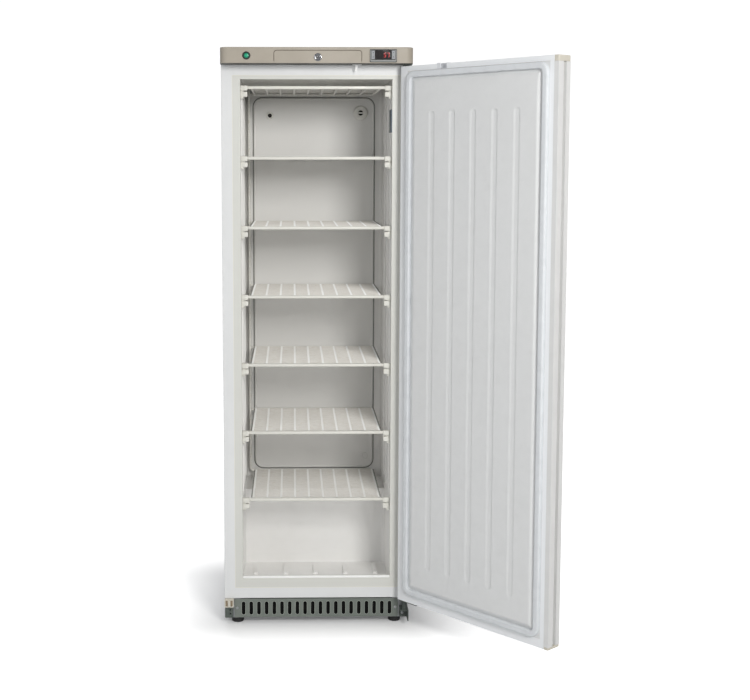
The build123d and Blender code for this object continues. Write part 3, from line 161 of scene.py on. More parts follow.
def tube(path, radius, sides=12, closed=False, up=UP):
    """A round tube: a circle carried square to the path, its first axis the cross of path and up."""
    ahead = np.roll(path, -1, 0) - np.roll(path, 1, 0) if closed else np.gradient(path, axis=0)
    side = unit(np.cross(unit(ahead), up))
    lift = unit(np.cross(side, unit(ahead)))
    return carried(ring(radius, sides), path, side, lift, closed)


def turned(profile, centre, axis, sides=32, closed=False, waves=0, swing=0.0, turn=0.0):
    """A turned form: profile (r, h) in millimetres spun about an axis; point = centre + r w (cos q u +
    sin q v) + h axis, where w = 1 - swing (1 - cos(waves q)) / 2 cuts finger grips into the rim. A closed
    profile is a ring."""
    axis = unit(np.asarray(axis, float))
    u = unit(np.cross(axis, UP if abs(axis[2]) < 0.5 else np.array([0.0, 1.0, 0.0])))
    v = np.cross(axis, u)
    q = (np.arange(sides) * 2 * math.pi / sides + turn)[None, :, None]
    r, h = (np.asarray(profile, float) * MM).T[:, :, None, None]
    r = r * (1 - swing * (1 - np.cos(waves * q)) / 2)
    return np.asarray(centre, float) + r * (np.cos(q) * u + np.sin(q) * v) + h * axis, closed, True


def rounded_block(low, high, radius, steps=3):
    """A block with rounded edges: a sphere's points at latitude and longitude, each pushed to the corner
    of its own octant; point = centre + sign * (half - r) + r * direction."""
    low, high = np.asarray(low, float), np.asarray(high, float)
    centre, half = (low + high) / 2, (high - low) / 2
    radius = min(radius, *(half * 0.98))
    quarter = np.linspace(0, math.pi / 2, steps + 1)
    longitude = np.concatenate([quarter + k * math.pi / 2 for k in range(4)])
    turn_x = np.repeat([1, -1, -1, 1], steps + 1)
    turn_y = np.repeat([1, 1, -1, -1], steps + 1)
    latitude = np.concatenate([quarter - math.pi / 2, quarter])
    rise = np.repeat([-1, 1], steps + 1)
    lat, lon = latitude[:, None], longitude[None, :]
    direction = np.stack(
        [np.cos(lat) * np.cos(lon), np.cos(lat) * np.sin(lon), np.sin(lat) + 0 * lon], axis=-1
    )
    sign = np.stack(
        [turn_x + 0 * rise[:, None], turn_y + 0 * rise[:, None], rise[:, None] + 0 * turn_x], axis=-1
    )
    grid = centre + sign * (half - radius) + radius * direction
    poles = [np.broadcast_to(centre + s * np.array([0, 0, half[2]]), (1, grid.shape[1], 3)) for s in (-1, 1)]
    return np.concatenate([poles[0], grid, poles[1]]), False, True


def rounded_outline(half_a, half_b, radius, steps=6):
    """Rounded rectangle as a closed profile, centred, running from +a towards +b."""
    quarter = np.linspace(0, math.pi / 2, steps + 1)
    q = np.concatenate([quarter + k * math.pi / 2 for k in range(4)])
    sign_a = np.repeat([1, -1, -1, 1], steps + 1)
    sign_b = np.repeat([1, 1, -1, -1], steps + 1)
    return np.stack(
        [sign_a * (half_a - radius) + radius * np.cos(q), sign_b * (half_b - radius) + radius * np.sin(q)],
        axis=1,
    )


def upright(outline, x, y, z):
    """An outline stood up in the plane y, its middle at x and z."""
    return np.stack([x + outline[:, 0], np.full(len(outline), y), z + outline[:, 1]], axis=1)


def rounded_route(points, radii, steps=8):
    """A route of straight runs with round bends: each corner gives the points of its tangent arc."""
    points = np.asarray(points, float)
    out = [points[:1]]
    for before, corner, after, radius in zip(points[:-2], points[1:-1], points[2:], radii):
        go, leave = unit(corner - before), unit(after - corner)
        half_turn = math.acos(float(np.clip(go @ leave, -1, 1))) / 2
        inward = unit(leave - go)
        centre = corner + inward * radius / math.cos(half_turn)
        q = np.linspace(-half_turn, half_turn, steps + 1)[:, None]
        out.append(centre - radius * np.cos(q) * inward + radius * np.sin(q) * unit(go + leave))
    out.append(points[-1:])
    return np.vstack(out)


def walled(piece, thickness):
    """Gives an open surface a wall of a thickness, half to either side."""
    solid = piece.modifiers.new("thickness", "SOLIDIFY")
    solid.thickness, solid.offset = thickness, 0.0
    return piece


def bare_shape(node):
    """A copy of the node's own shape, without finish or shading of its own."""
    mesh = frame["nodes"][node].data.copy()
    mesh.name = node + "_shape"
    mesh.materials.clear()
    for layer in ("custom_normal", "sharp_edge", "sharp_face"):
        if layer in mesh.attributes:
            mesh.attributes.remove(mesh.attributes[layer])
    return mesh


def softened(node, width=0.8, crease=32.0, fuller=None):
    """The node's own shape with rounded edges, width in millimetres: its merged copy, flat triangles joined,
    and a bevel. With fuller, a test on an edge's two ends, its edges get the whole width and the others a
    quarter of it."""
    mesh = bare_shape(node)
    work = bmesh.new()
    work.from_mesh(mesh)
    bmesh.ops.remove_doubles(work, verts=work.verts, dist=1e-6)
    if width > 0:
        flat = math.radians(0.4)
        bmesh.ops.dissolve_limit(work, angle_limit=flat, verts=work.verts, edges=work.edges)
    work.to_mesh(mesh)
    work.free()
    mesh.shade_smooth()
    mesh.set_sharp_from_angle(angle=math.radians(crease))
    piece = bpy.data.objects.new(mesh.name, mesh)
    bpy.context.scene.collection.objects.link(piece)
    if width > 0:
        bevel = piece.modifiers.new("edges", "BEVEL")
        bevel.width, bevel.segments = width * MM, 2
        bevel.limit_method, bevel.angle_limit = "ANGLE", math.radians(crease)
        bevel.harden_normals = bevel.use_clamp_overlap = True
        if fuller is not None:
            weigh_edges(mesh, fuller)
            bevel.limit_method, bevel.segments = "WEIGHT", 4
    return piece


def weigh_edges(mesh, fuller):
    """Bevel weight of every edge: 1 where it is sharp and fuller, 1/4 where it is only sharp, else 0."""
    points = np.array([v.co for v in mesh.vertices], float)
    ends = np.array([e.vertices[:] for e in mesh.edges])
    sharp = np.zeros(len(ends), bool)
    mesh.attributes["sharp_edge"].data.foreach_get("value", sharp)
    share = np.where(sharp, np.where(fuller(points[ends[:, 0]], points[ends[:, 1]]), 1.0, 0.25), 0.0)
    weight = mesh.attributes.new("bevel_weight_edge", "FLOAT", "EDGE")
    weight.data.foreach_set("value", share.astype(np.float32))


# ------------------------------------------------------------------ finishes
def paint(red, green, blue):
    """Colour of 0-255 display values as scene-linear values."""
    values = np.array([red, green, blue]) / 255
    linear = np.where(values <= 0.04045, values / 12.92, ((values + 0.055) / 1.055) ** 2.4)
    return (*linear.tolist(), 1.0)


class Level:
    """A number that changes over a surface: a socket, with arithmetic that adds the Math nodes."""

    def __init__(self, finish, socket):
        self.finish, self.socket = finish, socket

    def maths(self, operation, *values):
        """The result of a Math node of an operation."""
        node = self.finish.node("ShaderNodeMath", {"operation": operation}, dict(enumerate(values)))
        return Level(self.finish, node.outputs[0])

    def __add__(self, other):
        return self.maths("ADD", self, other)

    def __sub__(self, other):
        return self.maths("SUBTRACT", self, other)

    def __rsub__(self, other):
        return self.maths("SUBTRACT", other, self)

    def __mul__(self, other):
        return self.maths("MULTIPLY", self, other)

    __radd__ = __add__
    __rmul__ = __mul__

    def most(self, other):
        """The larger of the two."""
        return self.maths("MAXIMUM", self, other)

    def ramp(self, low, high):
        """0 at low, 1 at high, smooth between."""
        node = self.finish.node(
            "ShaderNodeMapRange",
            {"interpolation_type": "SMOOTHSTEP"},
            {"Value": self, "From Min": low, "From Max": high},
        )
        return Level(self.finish, node.outputs["Result"])


class Finish:
    """One material, with the one method that makes each of its nodes and a few patterns made with it."""

    def __init__(self, name, **constants):
        self.material = bpy.data.materials.new(name)
        self.material.use_nodes = True
        self.tree = self.material.node_tree
        self.shader = self.tree.nodes["Principled BSDF"]
        for key, value in constants.items():
            self.shader.inputs[key.replace("_", " ").title().replace("Ior", "IOR")].default_value = value
        self.place = self.node("ShaderNodeTexCoord").outputs["Object"]

    def plug(self, socket, value):
        """Links a socket to a changing value, or sets it to a plain one."""
        value = value.socket if isinstance(value, Level) else value
        if isinstance(value, bpy.types.NodeSocket):
            self.tree.links.new(value, socket)
        else:
            socket.default_value = value

    def node(self, kind, settings=None, inputs=None):
        """A node of a kind, with its settings and what goes into it."""
        made = self.tree.nodes.new(kind)
        for key, value in (settings or {}).items():
            setattr(made, key, value)
        for key, value in (inputs or {}).items():
            self.plug(made.inputs[key], value)
        return made

    def stretched(self, x, y, z):
        """The place on the piece, scaled by axis."""
        return self.node("ShaderNodeMapping", None, {"Vector": self.place, "Scale": (x, y, z)}).outputs[0]

    def noise(self, scale, detail=2.0, rough=0.5, place=None):
        """Cloudy noise, so many swings to the metre."""
        inputs = {"Vector": place or self.place, "Scale": scale, "Detail": detail, "Roughness": rough}
        return Level(self, self.node("ShaderNodeTexNoise", None, inputs).outputs[0])

    def cells(self, scale, output="Distance"):
        """Cells of random size: the distance from each one's middle, or its random colour."""
        made = self.node("ShaderNodeTexVoronoi", None, {"Vector": self.place, "Scale": scale})
        return made.outputs["Color"] if output == "Color" else Level(self, made.outputs[output])

    def axis(self, letter):
        """One coordinate of the place on the piece: X, Y or Z, or N, how far it is out of the open door."""
        if letter == "N":
            return self.axis("X") * OUTWARD[0] + self.axis("Y") * OUTWARD[1] - float(HINGE @ OUTWARD)
        node = self.node("ShaderNodeSeparateXYZ", None, {0: self.place})
        return Level(self, node.outputs[letter])

    def zoned(self, tone, zones):
        """A tone that turns into each zone's colour between two places, a zone being (axis, from, to,
        colour)."""
        for letter, start, end, colour in zones:
            tone = self.mixed(self.axis(letter).ramp(start, end), tone, colour)
        return tone

    def mixed(self, share, first, second):
        """Colour between two colours, by a share."""
        return self.node("ShaderNodeMix", {"data_type": "RGBA"}, {0: share, 6: first, 7: second}).outputs[2]

    def relief(self, height, depth, over=None):
        """Bump of a height field whose full swing is a depth in metres."""
        inputs = {"Height": height, "Distance": depth, "Strength": 1.0}
        if over is not None:
            inputs["Normal"] = over
        return self.node("ShaderNodeBump", None, inputs).outputs[0]

    def finish(self, colour, roughness=None, normal=None, **others):
        """Plugs what changes over the surface into the shader and gives the material."""
        self.plug(self.shader.inputs["Base Color"], colour)
        if roughness is not None:
            self.plug(self.shader.inputs["Roughness"], roughness)
        if normal is not None:
            self.plug(self.shader.inputs["Normal"], normal)
        for key, value in others.items():
            self.plug(self.shader.inputs[key.replace("_", " ")], value)
        return self.material


def sprayed(name, colour, shade, gloss, peel=620.0, peel_depth=0.010 * MM, zones=()):
    """Stoved enamel on sheet steel: orange-peel relief, slow drifts of tone, faint wiped streaks that run
    upright, and fine specks of dust."""
    f = Finish(name, Coat_Weight=0.25, Coat_Roughness=0.18, Specular_IOR_Level=0.5)
    drift = f.noise(2.3, 3.0).ramp(0.3, 0.7)
    streak = f.noise(1.0, 4.0, 0.6, f.stretched(46, 46, 2.2))
    speck = f.noise(210.0, 2.0).ramp(0.66, 0.74)
    tone = f.mixed(drift * 0.55 + streak * 0.35, colour, shade)
    tone = f.mixed(speck * 0.10, tone, paint(150, 146, 138))
    tone = f.zoned(tone, zones)
    rough = gloss + 0.10 * streak + 0.05 * drift
    peel_relief = f.relief(f.noise(peel, 2.0, 0.45), peel_depth)
    sag = f.relief(f.noise(7.0, 1.0), 0.22 * MM, peel_relief)
    return f.finish(tone, rough, sag)


def moulded(name, colour, shade, gloss, grain=900.0, grain_depth=0.018 * MM, zones=()):
    """Moulded plastic: fine matt grain, flow lines in the tone, hair scratches that catch the light."""
    f = Finish(name, Specular_IOR_Level=0.45)
    drift = f.noise(11.0, 3.0, 0.55).ramp(0.3, 0.72)
    lines = f.noise(1.0, 3.0, 0.6, f.stretched(14, 60, 14))
    scratch = f.noise(1.0, 2.0, 0.4, f.stretched(700, 60, 240)).ramp(0.70, 0.78)
    tone = f.mixed(drift * 0.4 + lines * 0.3, colour, shade)
    tone = f.zoned(f.mixed(scratch * 0.08, tone, paint(235, 234, 230)), zones)
    rough = gloss + 0.14 * drift - 0.10 * scratch
    relief = f.relief(f.noise(grain, 2.0, 0.6), grain_depth)
    return f.finish(tone, rough, f.relief(scratch, -0.01 * MM, relief))


def vacuum_formed(name, colour, shade, gloss, zones=()):
    """Vacuum-formed liner sheet: long soft draw waves, a fine eggshell grain, faint greyed wipe marks."""
    f = Finish(name, Specular_IOR_Level=0.5, Coat_Weight=0.10, Coat_Roughness=0.25)
    draw = f.noise(1.0, 2.0, 0.5, f.stretched(5, 5, 1.4))
    wipe = f.noise(1.0, 4.0, 0.62, f.stretched(3.0, 22, 22)).ramp(0.52, 0.82)
    bloom = f.noise(34.0, 3.0).ramp(0.35, 0.75)
    tone = f.mixed(draw * 0.6 + bloom * 0.25, colour, shade)
    tone = f.zoned(f.mixed(wipe * 0.12, tone, paint(196, 197, 194)), zones)
    rough = gloss + 0.16 * wipe + 0.06 * bloom
    relief = f.relief(f.noise(760.0, 2.0, 0.55), 0.012 * MM)
    waves = f.relief(draw, 0.7 * MM, relief)
    return f.finish(tone, rough, waves)


def frosted_enamel(name, colour, shade, gloss, over_tubes=None, zones=()):
    """Dipped white coating on tube and wire: thick and thin runs and worn warm spots. With over_tubes, a
    (first tube, pitch, colour), the coat has gathered whiter wherever a wire lies on a tube: the distance to
    the nearest tube is the place along x folded to and fro over half a pitch."""
    f = Finish(name, Specular_IOR_Level=0.5, Coat_Weight=0.15, Coat_Roughness=0.3)
    runs = f.noise(1.0, 3.0, 0.6, f.stretched(60, 240, 240)).ramp(0.35, 0.7)
    worn = f.noise(95.0, 3.0).ramp(0.58, 0.70)
    tone = f.mixed(runs * 0.5, colour, shade)
    tone = f.mixed(worn * 0.30, tone, paint(196, 186, 164))
    if over_tubes is not None:
        first, pitch, gathered = over_tubes
        away = (f.axis("X") - first).maths("PINGPONG", f.axis("X") - first, pitch / 2)
        tone = f.mixed(away.ramp(2.2 * MM, 4.0 * MM), gathered, tone)
    tone = f.zoned(tone, zones)
    relief = f.relief(f.noise(420.0, 2.0), 0.03 * MM)
    return f.finish(tone, gloss + 0.15 * runs, f.relief(runs, 0.05 * MM, relief))


def plated(name, colour, shade, gloss, spangle=55.0):
    """Zinc-coated sheet: crystal spangle in tone and roughness, faint rolling lines and dull spots."""
    f = Finish(name, Metallic=0.85)
    crystal = f.node("ShaderNodeSeparateColor", None, {0: f.cells(spangle, output="Color")})
    tint = Level(f, crystal.outputs[0])
    rolled = f.noise(1.0, 3.0, 0.6, f.stretched(300, 300, 4))
    dull = f.noise(18.0, 4.0).ramp(0.5, 0.72)
    tone = f.mixed(tint * 0.6 + rolled * 0.3, colour, shade)
    tone = f.mixed(dull * 0.25, tone, paint(168, 168, 164))
    rough = gloss + 0.18 * tint + 0.12 * dull
    return f.finish(tone, rough, f.relief(rolled, 0.01 * MM))


def rubbery(name, colour, shade, gloss):
    """Soft rubber or vinyl: fine matt skin, chalky bloom and small moulding pits."""
    f = Finish(name, Specular_IOR_Level=0.35, Sheen_Weight=0.05)
    bloom = f.noise(30.0, 4.0, 0.6).ramp(0.4, 0.75)
    pits = f.noise(520.0, 2.0)
    tone = f.mixed(bloom * 0.7, colour, shade)
    return f.finish(tone, gloss + 0.15 * bloom, f.relief(pits, 0.03 * MM))


def chromed(name):
    """Bright chrome with a faint cloudy film and turning marks."""
    f = Finish(name, Metallic=1.0)
    film = f.noise(260.0, 3.0).ramp(0.45, 0.8)
    tone = f.mixed(film, paint(168, 169, 172), paint(116, 115, 112))
    return f.finish(tone, 0.10 + 0.2 * film, f.relief(f.noise(900.0), 0.006 * MM))


def foamed(name):
    """Rigid yellow insulation foam: cells in tone and relief."""
    f = Finish(name, Specular_IOR_Level=0.2)
    cell = f.cells(420.0)
    tone = f.mixed(cell, paint(226, 208, 158), paint(196, 172, 116))
    return f.finish(tone, 0.85, f.relief(cell, 0.4 * MM))


def copper_tube(name):
    """Copper with handled brown film, brighter where it was bent and cleaned."""
    f = Finish(name, Metallic=0.95)
    film = f.noise(70.0, 4.0, 0.65).ramp(0.35, 0.7)
    tone = f.mixed(film, paint(206, 128, 88), paint(112, 70, 50))
    return f.finish(tone, 0.24 + 0.3 * film, f.relief(f.noise(500.0), 0.02 * MM))


def smoked_window(name):
    """Black display filter: glossy, faintly red-brown inside, with fine handling dust and a painted
    reflection, a pale slanting band whose middle is where 0.75 x + z is the band's value."""
    f = Finish(name, Coat_Weight=0.6, Coat_Roughness=0.04, Specular_IOR_Level=0.5)
    dust = f.noise(900.0, 2.0).ramp(0.68, 0.76)
    tone = f.mixed(f.noise(60.0), paint(18, 12, 12), paint(30, 24, 24))
    tone = f.mixed(dust * 0.25, tone, paint(120, 116, 112))
    # painted reflection: a pale slanting band mixed into the filter's colour
    slant = f.axis("X") * 0.75 + f.axis("Z") - PAINTED_REFLECTION_BAND
    pale = slant.ramp(-9 * MM, -3 * MM) * (1 - slant.ramp(3 * MM, 9 * MM))
    tone = f.mixed(pale * 0.35, tone, paint(110, 108, 106))
    return f.finish(tone, 0.10 + 0.2 * dust)


def lit(name, colour, core, power, centre, radius):
    """A lit translucent part: brightest at its middle, dimmer and deeper towards its rim."""
    f = Finish(name, Coat_Weight=0.4, Coat_Roughness=0.08, Emission_Strength=power)
    away = f.node("ShaderNodeVectorMath", {"operation": "DISTANCE"}, {0: f.place, 1: tuple(centre)})
    rim = Level(f, away.outputs["Value"]).ramp(radius * 0.15, radius)
    cloud = f.noise(500.0, 2.0)
    tone = f.mixed(rim * 0.9 + cloud * 0.1, core, colour)
    return f.finish(tone, 0.25 + 0.1 * cloud, Emission_Color=tone)


RED_FIGURES_AT = (206.5 * MM, 1828.5 * MM)  # x and z of the first figure's foot
RED_REACH = 14 * MM
# where the display filter's painted reflection runs
PAINTED_REFLECTION_BAND = 2007.5 * MM
LENS_RADIUS = 8.4 * MM
WIRE_END_PAINTED_SHADE = (208.5 * MM, 210 * MM)  # the wires darken between these places, towards their ends: painted shade of the gap along the shelf's sides


def tinted(recipe, name, colour, shade, *rest, **others):
    """A finish by a recipe, with both its colours given as 0-255 display values."""
    return recipe(name, paint(*colour), paint(*shade), *rest, **others)


FINISHES = {
    "white_enamel": tinted(sprayed, "white stoved enamel", (230, 231, 231), (222, 223, 223), 0.30),
    "door_white_painted_light_inside": tinted(
        sprayed, "door enamel", (222, 223, 223), (214, 215, 215), 0.30,
        # painted light: the door's inner side is made whiter than its front
        zones=[("N", -2 * MM, -12 * MM, paint(240, 242, 244))],
    ),
    "zinc_steel": tinted(plated, "zinc sheet", (176, 178, 180), (140, 142, 144), 0.34),
    "bare_plate": tinted(plated, "bare wall plate", (120, 132, 142), (96, 108, 118), 0.4, 260.0),
    "screw_steel": tinted(plated, "screw plating", (190, 192, 194), (150, 152, 154), 0.26, 400.0),
    "insulation": foamed("insulation foam"),
    "liner_plastic": tinted(
        vacuum_formed, "liner sheet", (243, 242, 240), (237, 236, 233), 0.36,
        zones=[
            ("Y", 170 * MM, 198 * MM, paint(230, 229, 226)),  # painted shade on the cold back wall
            ("Z", 1700 * MM, 1745 * MM, paint(218, 217, 213)),  # painted shade on the roof
            ("Y", -206 * MM, -226 * MM, paint(215, 215, 209)),  # painted shade on the front flange
        ],
    ),
    # painted highlight: the sill's lip is whiter than the liner it belongs to
    "lip_painted_highlight": tinted(vacuum_formed, "bright sill lip", (252, 252, 250), (246, 246, 243), 0.28),
    "door_sheet": tinted(vacuum_formed, "door inner sheet", (227, 228, 228), (219, 220, 220), 0.34),
    "shelf_enamel": tinted(frosted_enamel, "shelf coating", (232, 231, 226), (214, 210, 200), 0.38),
    "shelf_wire": tinted(
        frosted_enamel, "shelf wire coating", (226, 223, 217), (206, 202, 194), 0.42,
        over_tubes=(-OUTER_TUBE, 2 * OUTER_TUBE / (TUBE_COLUMNS - 1), paint(250, 250, 248)),
        # painted shade: the wires darkened towards their ends, along the shelf's sides
        zones=[("X", hand * WIRE_END_PAINTED_SHADE[0], hand * WIRE_END_PAINTED_SHADE[1], paint(120, 119, 114)) for hand in HANDS],
    ),
    "shelf_trim": tinted(moulded, "cream trim", (228, 227, 220), (218, 216, 207), 0.34),
    "cream_seam": tinted(moulded, "cream seam", (236, 234, 222), (226, 223, 208), 0.4),
    "fitting_plastic": tinted(moulded, "fitting plastic", (234, 233, 227), (220, 219, 212), 0.42),
    # painted shade: the dark end inside a fitting's bore
    "dark_bore": tinted(moulded, "dark bore", (38, 30, 26), (22, 18, 16), 0.6),
    "fascia_plastic": tinted(
        moulded, "taupe fascia", (172, 164, 151), (162, 154, 141), 0.42, 1300.0, 0.03 * MM,
        # painted shade on the fascia's underside
        zones=[("Z", FASCIA_UNDERSIDE + 0.5 * MM, FASCIA_UNDERSIDE, paint(66, 64, 58))],
    ),
    "groove_shade": tinted(moulded, "groove shade", (120, 112, 101), (108, 101, 91), 0.5),
    "black_plastic": tinted(moulded, "black plastic", (26, 26, 27), (40, 40, 41), 0.36),
    "controller_grey": tinted(moulded, "controller face", (150, 152, 150), (132, 134, 132), 0.4),
    "key_plastic": tinted(moulded, "key pads", (160, 163, 166), (140, 143, 146), 0.4),
    "key_mark": tinted(moulded, "key marks", (70, 70, 70), (52, 52, 52), 0.5),
    "display_filter": smoked_window("display filter"),
    "red_figures": tinted(
        lit, "red figures", (150, 10, 16), (196, 20, 26), 0.55,
        (RED_FIGURES_AT[0] + 12 * MM, FASCIA_FRONT - 2 * MM, RED_FIGURES_AT[1] + 7 * MM), RED_REACH,
    ),
    "green_lens": tinted(
        lit, "green switch lens", (0, 86, 64), (20, 150, 112), 0.42,
        middle("switch_button", FASCIA_FRONT - 4 * MM), LENS_RADIUS,
    ),
    "lock_chrome": chromed("lock chrome"),
    "hook_enamel": tinted(sprayed, "hook enamel", (252, 252, 251), (244, 244, 242), 0.3),
    "grille_enamel": tinted(
        sprayed, "grille enamel", (122, 128, 121), (104, 111, 105), 0.42, 380.0, 0.05 * MM
    ),
    # painted highlight: the slot lips are lighter than the grille
    "slot_lip": tinted(sprayed, "worn slot lips", (172, 178, 169), (150, 157, 148), 0.36, 380.0, 0.05 * MM),
    # painted shade: a black sheet behind the grille's slots
    "dark_felt": tinted(rubbery, "dark felt", (12, 13, 13), (24, 25, 25), 0.9),
    "foot_plastic": tinted(moulded, "foot plastic", (24, 24, 25), (38, 38, 38), 0.5),
    "roller_plastic": tinted(moulded, "roller plastic", (60, 61, 62), (82, 82, 82), 0.5),
    "hinge_steel": tinted(sprayed, "hinge coating", (84, 92, 86), (62, 69, 65), 0.45, 380.0, 0.05 * MM),
    "cover_plastic": tinted(moulded, "hinge cover plastic", (212, 207, 195), (196, 190, 174), 0.4),
    "socket_brown": tinted(moulded, "socket ends", (150, 134, 110), (118, 102, 80), 0.5),
    "handle_plastic": tinted(moulded, "handle plastic", (222, 222, 221), (214, 214, 213), 0.34),
    "keeper_white": tinted(moulded, "white keeper", (226, 228, 231), (214, 216, 220), 0.36),
    "gasket_rubber": tinted(rubbery, "gasket vinyl", (219, 222, 225), (209, 212, 215), 0.68),
    "cord_painted_shadow": tinted(rubbery, "dark sealing cord", (140, 140, 136), (116, 116, 112), 0.7),
    "bush_plastic": tinted(moulded, "bush plastic", (214, 210, 196), (198, 194, 180), 0.4),
    "compressor_enamel": tinted(
        sprayed, "compressor enamel", (30, 31, 33), (46, 47, 49), 0.35, 300.0, 0.06 * MM
    ),
    "mount_rubber": tinted(rubbery, "mount rubber", (28, 28, 28), (50, 49, 48), 0.7),
    "drier_copper": copper_tube("drier copper"),
    "condenser_enamel": tinted(
        sprayed, "condenser enamel", (34, 35, 36), (52, 52, 53), 0.4, 500.0, 0.04 * MM
    ),
}


# ------------------------------------------------------------------ placing
def place(piece, body, slot, *nodes, finish=None):
    """Gives a piece its finish, which is its slot's own if no other is named, and the body it moves with, and
    hides the nodes it stands for."""
    piece.data.materials.clear()
    piece.data.materials.append(FINISHES[finish or slot])
    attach(piece, body)
    if nodes:
        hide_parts(*nodes)


# ------------------------------------------------------------------ camera, light and floor
CAMERA_AT = (-0.0794, -4.28, 1.5)
CAMERA_LENS, CAMERA_SHIFT = 61.02, (0.08, -0.075)
CAMERA_DOWN, CAMERA_RIGHT = 5.82, 1.065  # how far it is turned, degrees


def add_camera():
    """The photograph's view: almost level, from a little above the middle."""
    camera = bpy.data.cameras.new("camera")
    camera.lens, camera.sensor_width = CAMERA_LENS, 36.0
    camera.shift_x, camera.shift_y = CAMERA_SHIFT
    holder = bpy.data.objects.new("camera", camera)
    holder.location = CAMERA_AT
    holder.rotation_euler = (math.radians(90 - CAMERA_DOWN), 0.0, math.radians(-CAMERA_RIGHT))
    bpy.context.scene.collection.objects.link(holder)
    bpy.context.scene.camera = holder


def add_light(name, stand, aim, size, power, colour):
    """A square soft light that looks at a point."""
    light = bpy.data.lights.new(name, "AREA")
    light.size, light.energy, light.color = size, power, colour
    holder = bpy.data.objects.new(name, light)
    holder.location = stand
    holder.rotation_euler = (Vector(aim) - Vector(stand)).to_track_quat("-Z", "Y").to_euler()
    bpy.context.scene.collection.objects.link(holder)


WORLD_GLOW, SEEN_GLOW, FLOOR_GLOW = 0.38, 1.05, 0.74
LIGHTS = {  # where it stands, what it looks at, its side, its power and its colour
    "key": ((1.25, -3.7, 2.35), (0.0, 0.0, 1.0), 1.0, 80, (1.0, 0.992, 0.975)),
    "fill": ((-2.6, -3.0, 1.9), (0.1, 0.0, 0.9), 1.6, 16, (0.94, 0.97, 1.0)),
    "back light": ((-1.2, 4.2, 2.4), (0.0, 0.3, 0.9), 2.2, 60, (0.97, 0.985, 1.0)),
}
BASE_HALF = (285 * MM, 225 * MM)  # base's outline on the floor
BASE_MIDDLE_Y = 10 * MM
SHADE_REACH = 340 * MM
FLOOR_HALF = 14.0


def add_studio():
    """White surroundings, a soft light from the right front, a fill from the left, a wide one behind and a
    pale floor with a painted shadow round the base, which fades with the distance from the base's outline."""
    world = bpy.data.worlds.new("studio")
    world.use_nodes = True
    nodes, links = world.node_tree.nodes, world.node_tree.links
    background = nodes["Background"]
    background.inputs["Color"].default_value = (0.99, 0.993, 1.0, 1)
    background.inputs["Strength"].default_value = WORLD_GLOW
    seen = nodes.new("ShaderNodeBackground")
    seen.inputs["Color"].default_value = (1, 1, 1, 1)
    seen.inputs["Strength"].default_value = SEEN_GLOW
    rays, both = nodes.new("ShaderNodeLightPath"), nodes.new("ShaderNodeMixShader")
    links.new(rays.outputs["Is Camera Ray"], both.inputs[0])
    links.new(background.outputs[0], both.inputs[1])
    links.new(seen.outputs[0], both.inputs[2])
    links.new(both.outputs[0], nodes["World Output"].inputs[0])
    bpy.context.scene.world = world
    for name, light in LIGHTS.items():
        add_light(name, *light)
    ground = Finish("floor paper", Emission_Strength=FLOOR_GLOW)
    fibre = ground.noise(260.0, 3.0)
    straight = Level(ground, ground.node("ShaderNodeLightPath").outputs["Is Camera Ray"])
    x, y = ground.axis("X"), ground.axis("Y") - BASE_MIDDLE_Y
    away_x = (x.maths("ABSOLUTE", x) - BASE_HALF[0]).most(0.0)
    away_y = (y.maths("ABSOLUTE", y) - BASE_HALF[1]).most(0.0)
    away = away_x.maths("SQRT", away_x * away_x + away_y * away_y)
    # painted shadow: the floor's glow is cut near the base's outline and comes back over the shade's reach
    outside_painted_shadow = 0.12 + 0.88 * away.ramp(-50 * MM, SHADE_REACH)
    sheet = ground.finish(
        ground.mixed(fibre * 0.3, paint(236, 236, 236), paint(230, 230, 230)),
        0.9,
        ground.relief(fibre, 0.05 * MM),
        Emission_Color=ground.mixed(straight * outside_painted_shadow, (0, 0, 0, 1), (1, 1, 1, 1)),
    )
    edge = np.linspace(-FLOOR_HALF, FLOOR_HALF, 3)
    u, v = np.meshgrid(edge, edge, indexing="ij")
    floor = surface("floor", [(np.stack([u, v, 0 * u], axis=-1), False, False)])
    if floor.data.polygons[0].normal.z < 0:
        floor.data.flip_normals()
    floor.data.materials.append(sheet)


# ------------------------------------------------------------------ cooled shelves
WIRE_RADIUS = 0.7 * MM
WIRES_PER_SHELF = 59
WIRE_GAP = 0.02 * MM
FEED_BACK = 13 * MM  # feed riser ahead of the return riser


def shelf_levels():
    """Height of every shelf's tube, lowest first."""
    return [middle(node)[2] for node in SHELVES]


def shelf_tube(node, lowest):
    """A tube bent to and fro: straight runs with half-circle bends, both ends led to the rear left
    corner."""
    low, high = corners(node)
    z = middle(node)[2]
    lead, lead_bend = (2.0, 1.9) if lowest else (16.0, 7.2)
    columns = np.linspace(-OUTER_TUBE, OUTER_TUBE, TUBE_COLUMNS)
    front, back = low[1] + TUBE_RADIUS, high[1] - TUBE_RADIUS
    feed = back - FEED_BACK
    start = columns[0] - lead * MM
    points = [(start, feed, z), (columns[0], feed, z)]
    for i in range(TUBE_COLUMNS - 1):
        turn = front if i % 2 == 0 else feed
        points += [(columns[i], turn, z), (columns[i + 1], turn, z)]
    points += [(columns[-1], back, z), (start, back, z)]
    bend = (columns[1] - columns[0]) / 2 - 0.05 * MM
    radii = [lead_bend * MM] + [bend] * 2 * (TUBE_COLUMNS - 1) + [10 * MM]
    route = rounded_route(points, radii)
    return surface(node + "_tube", [tube(route, TUBE_RADIUS, 10)])


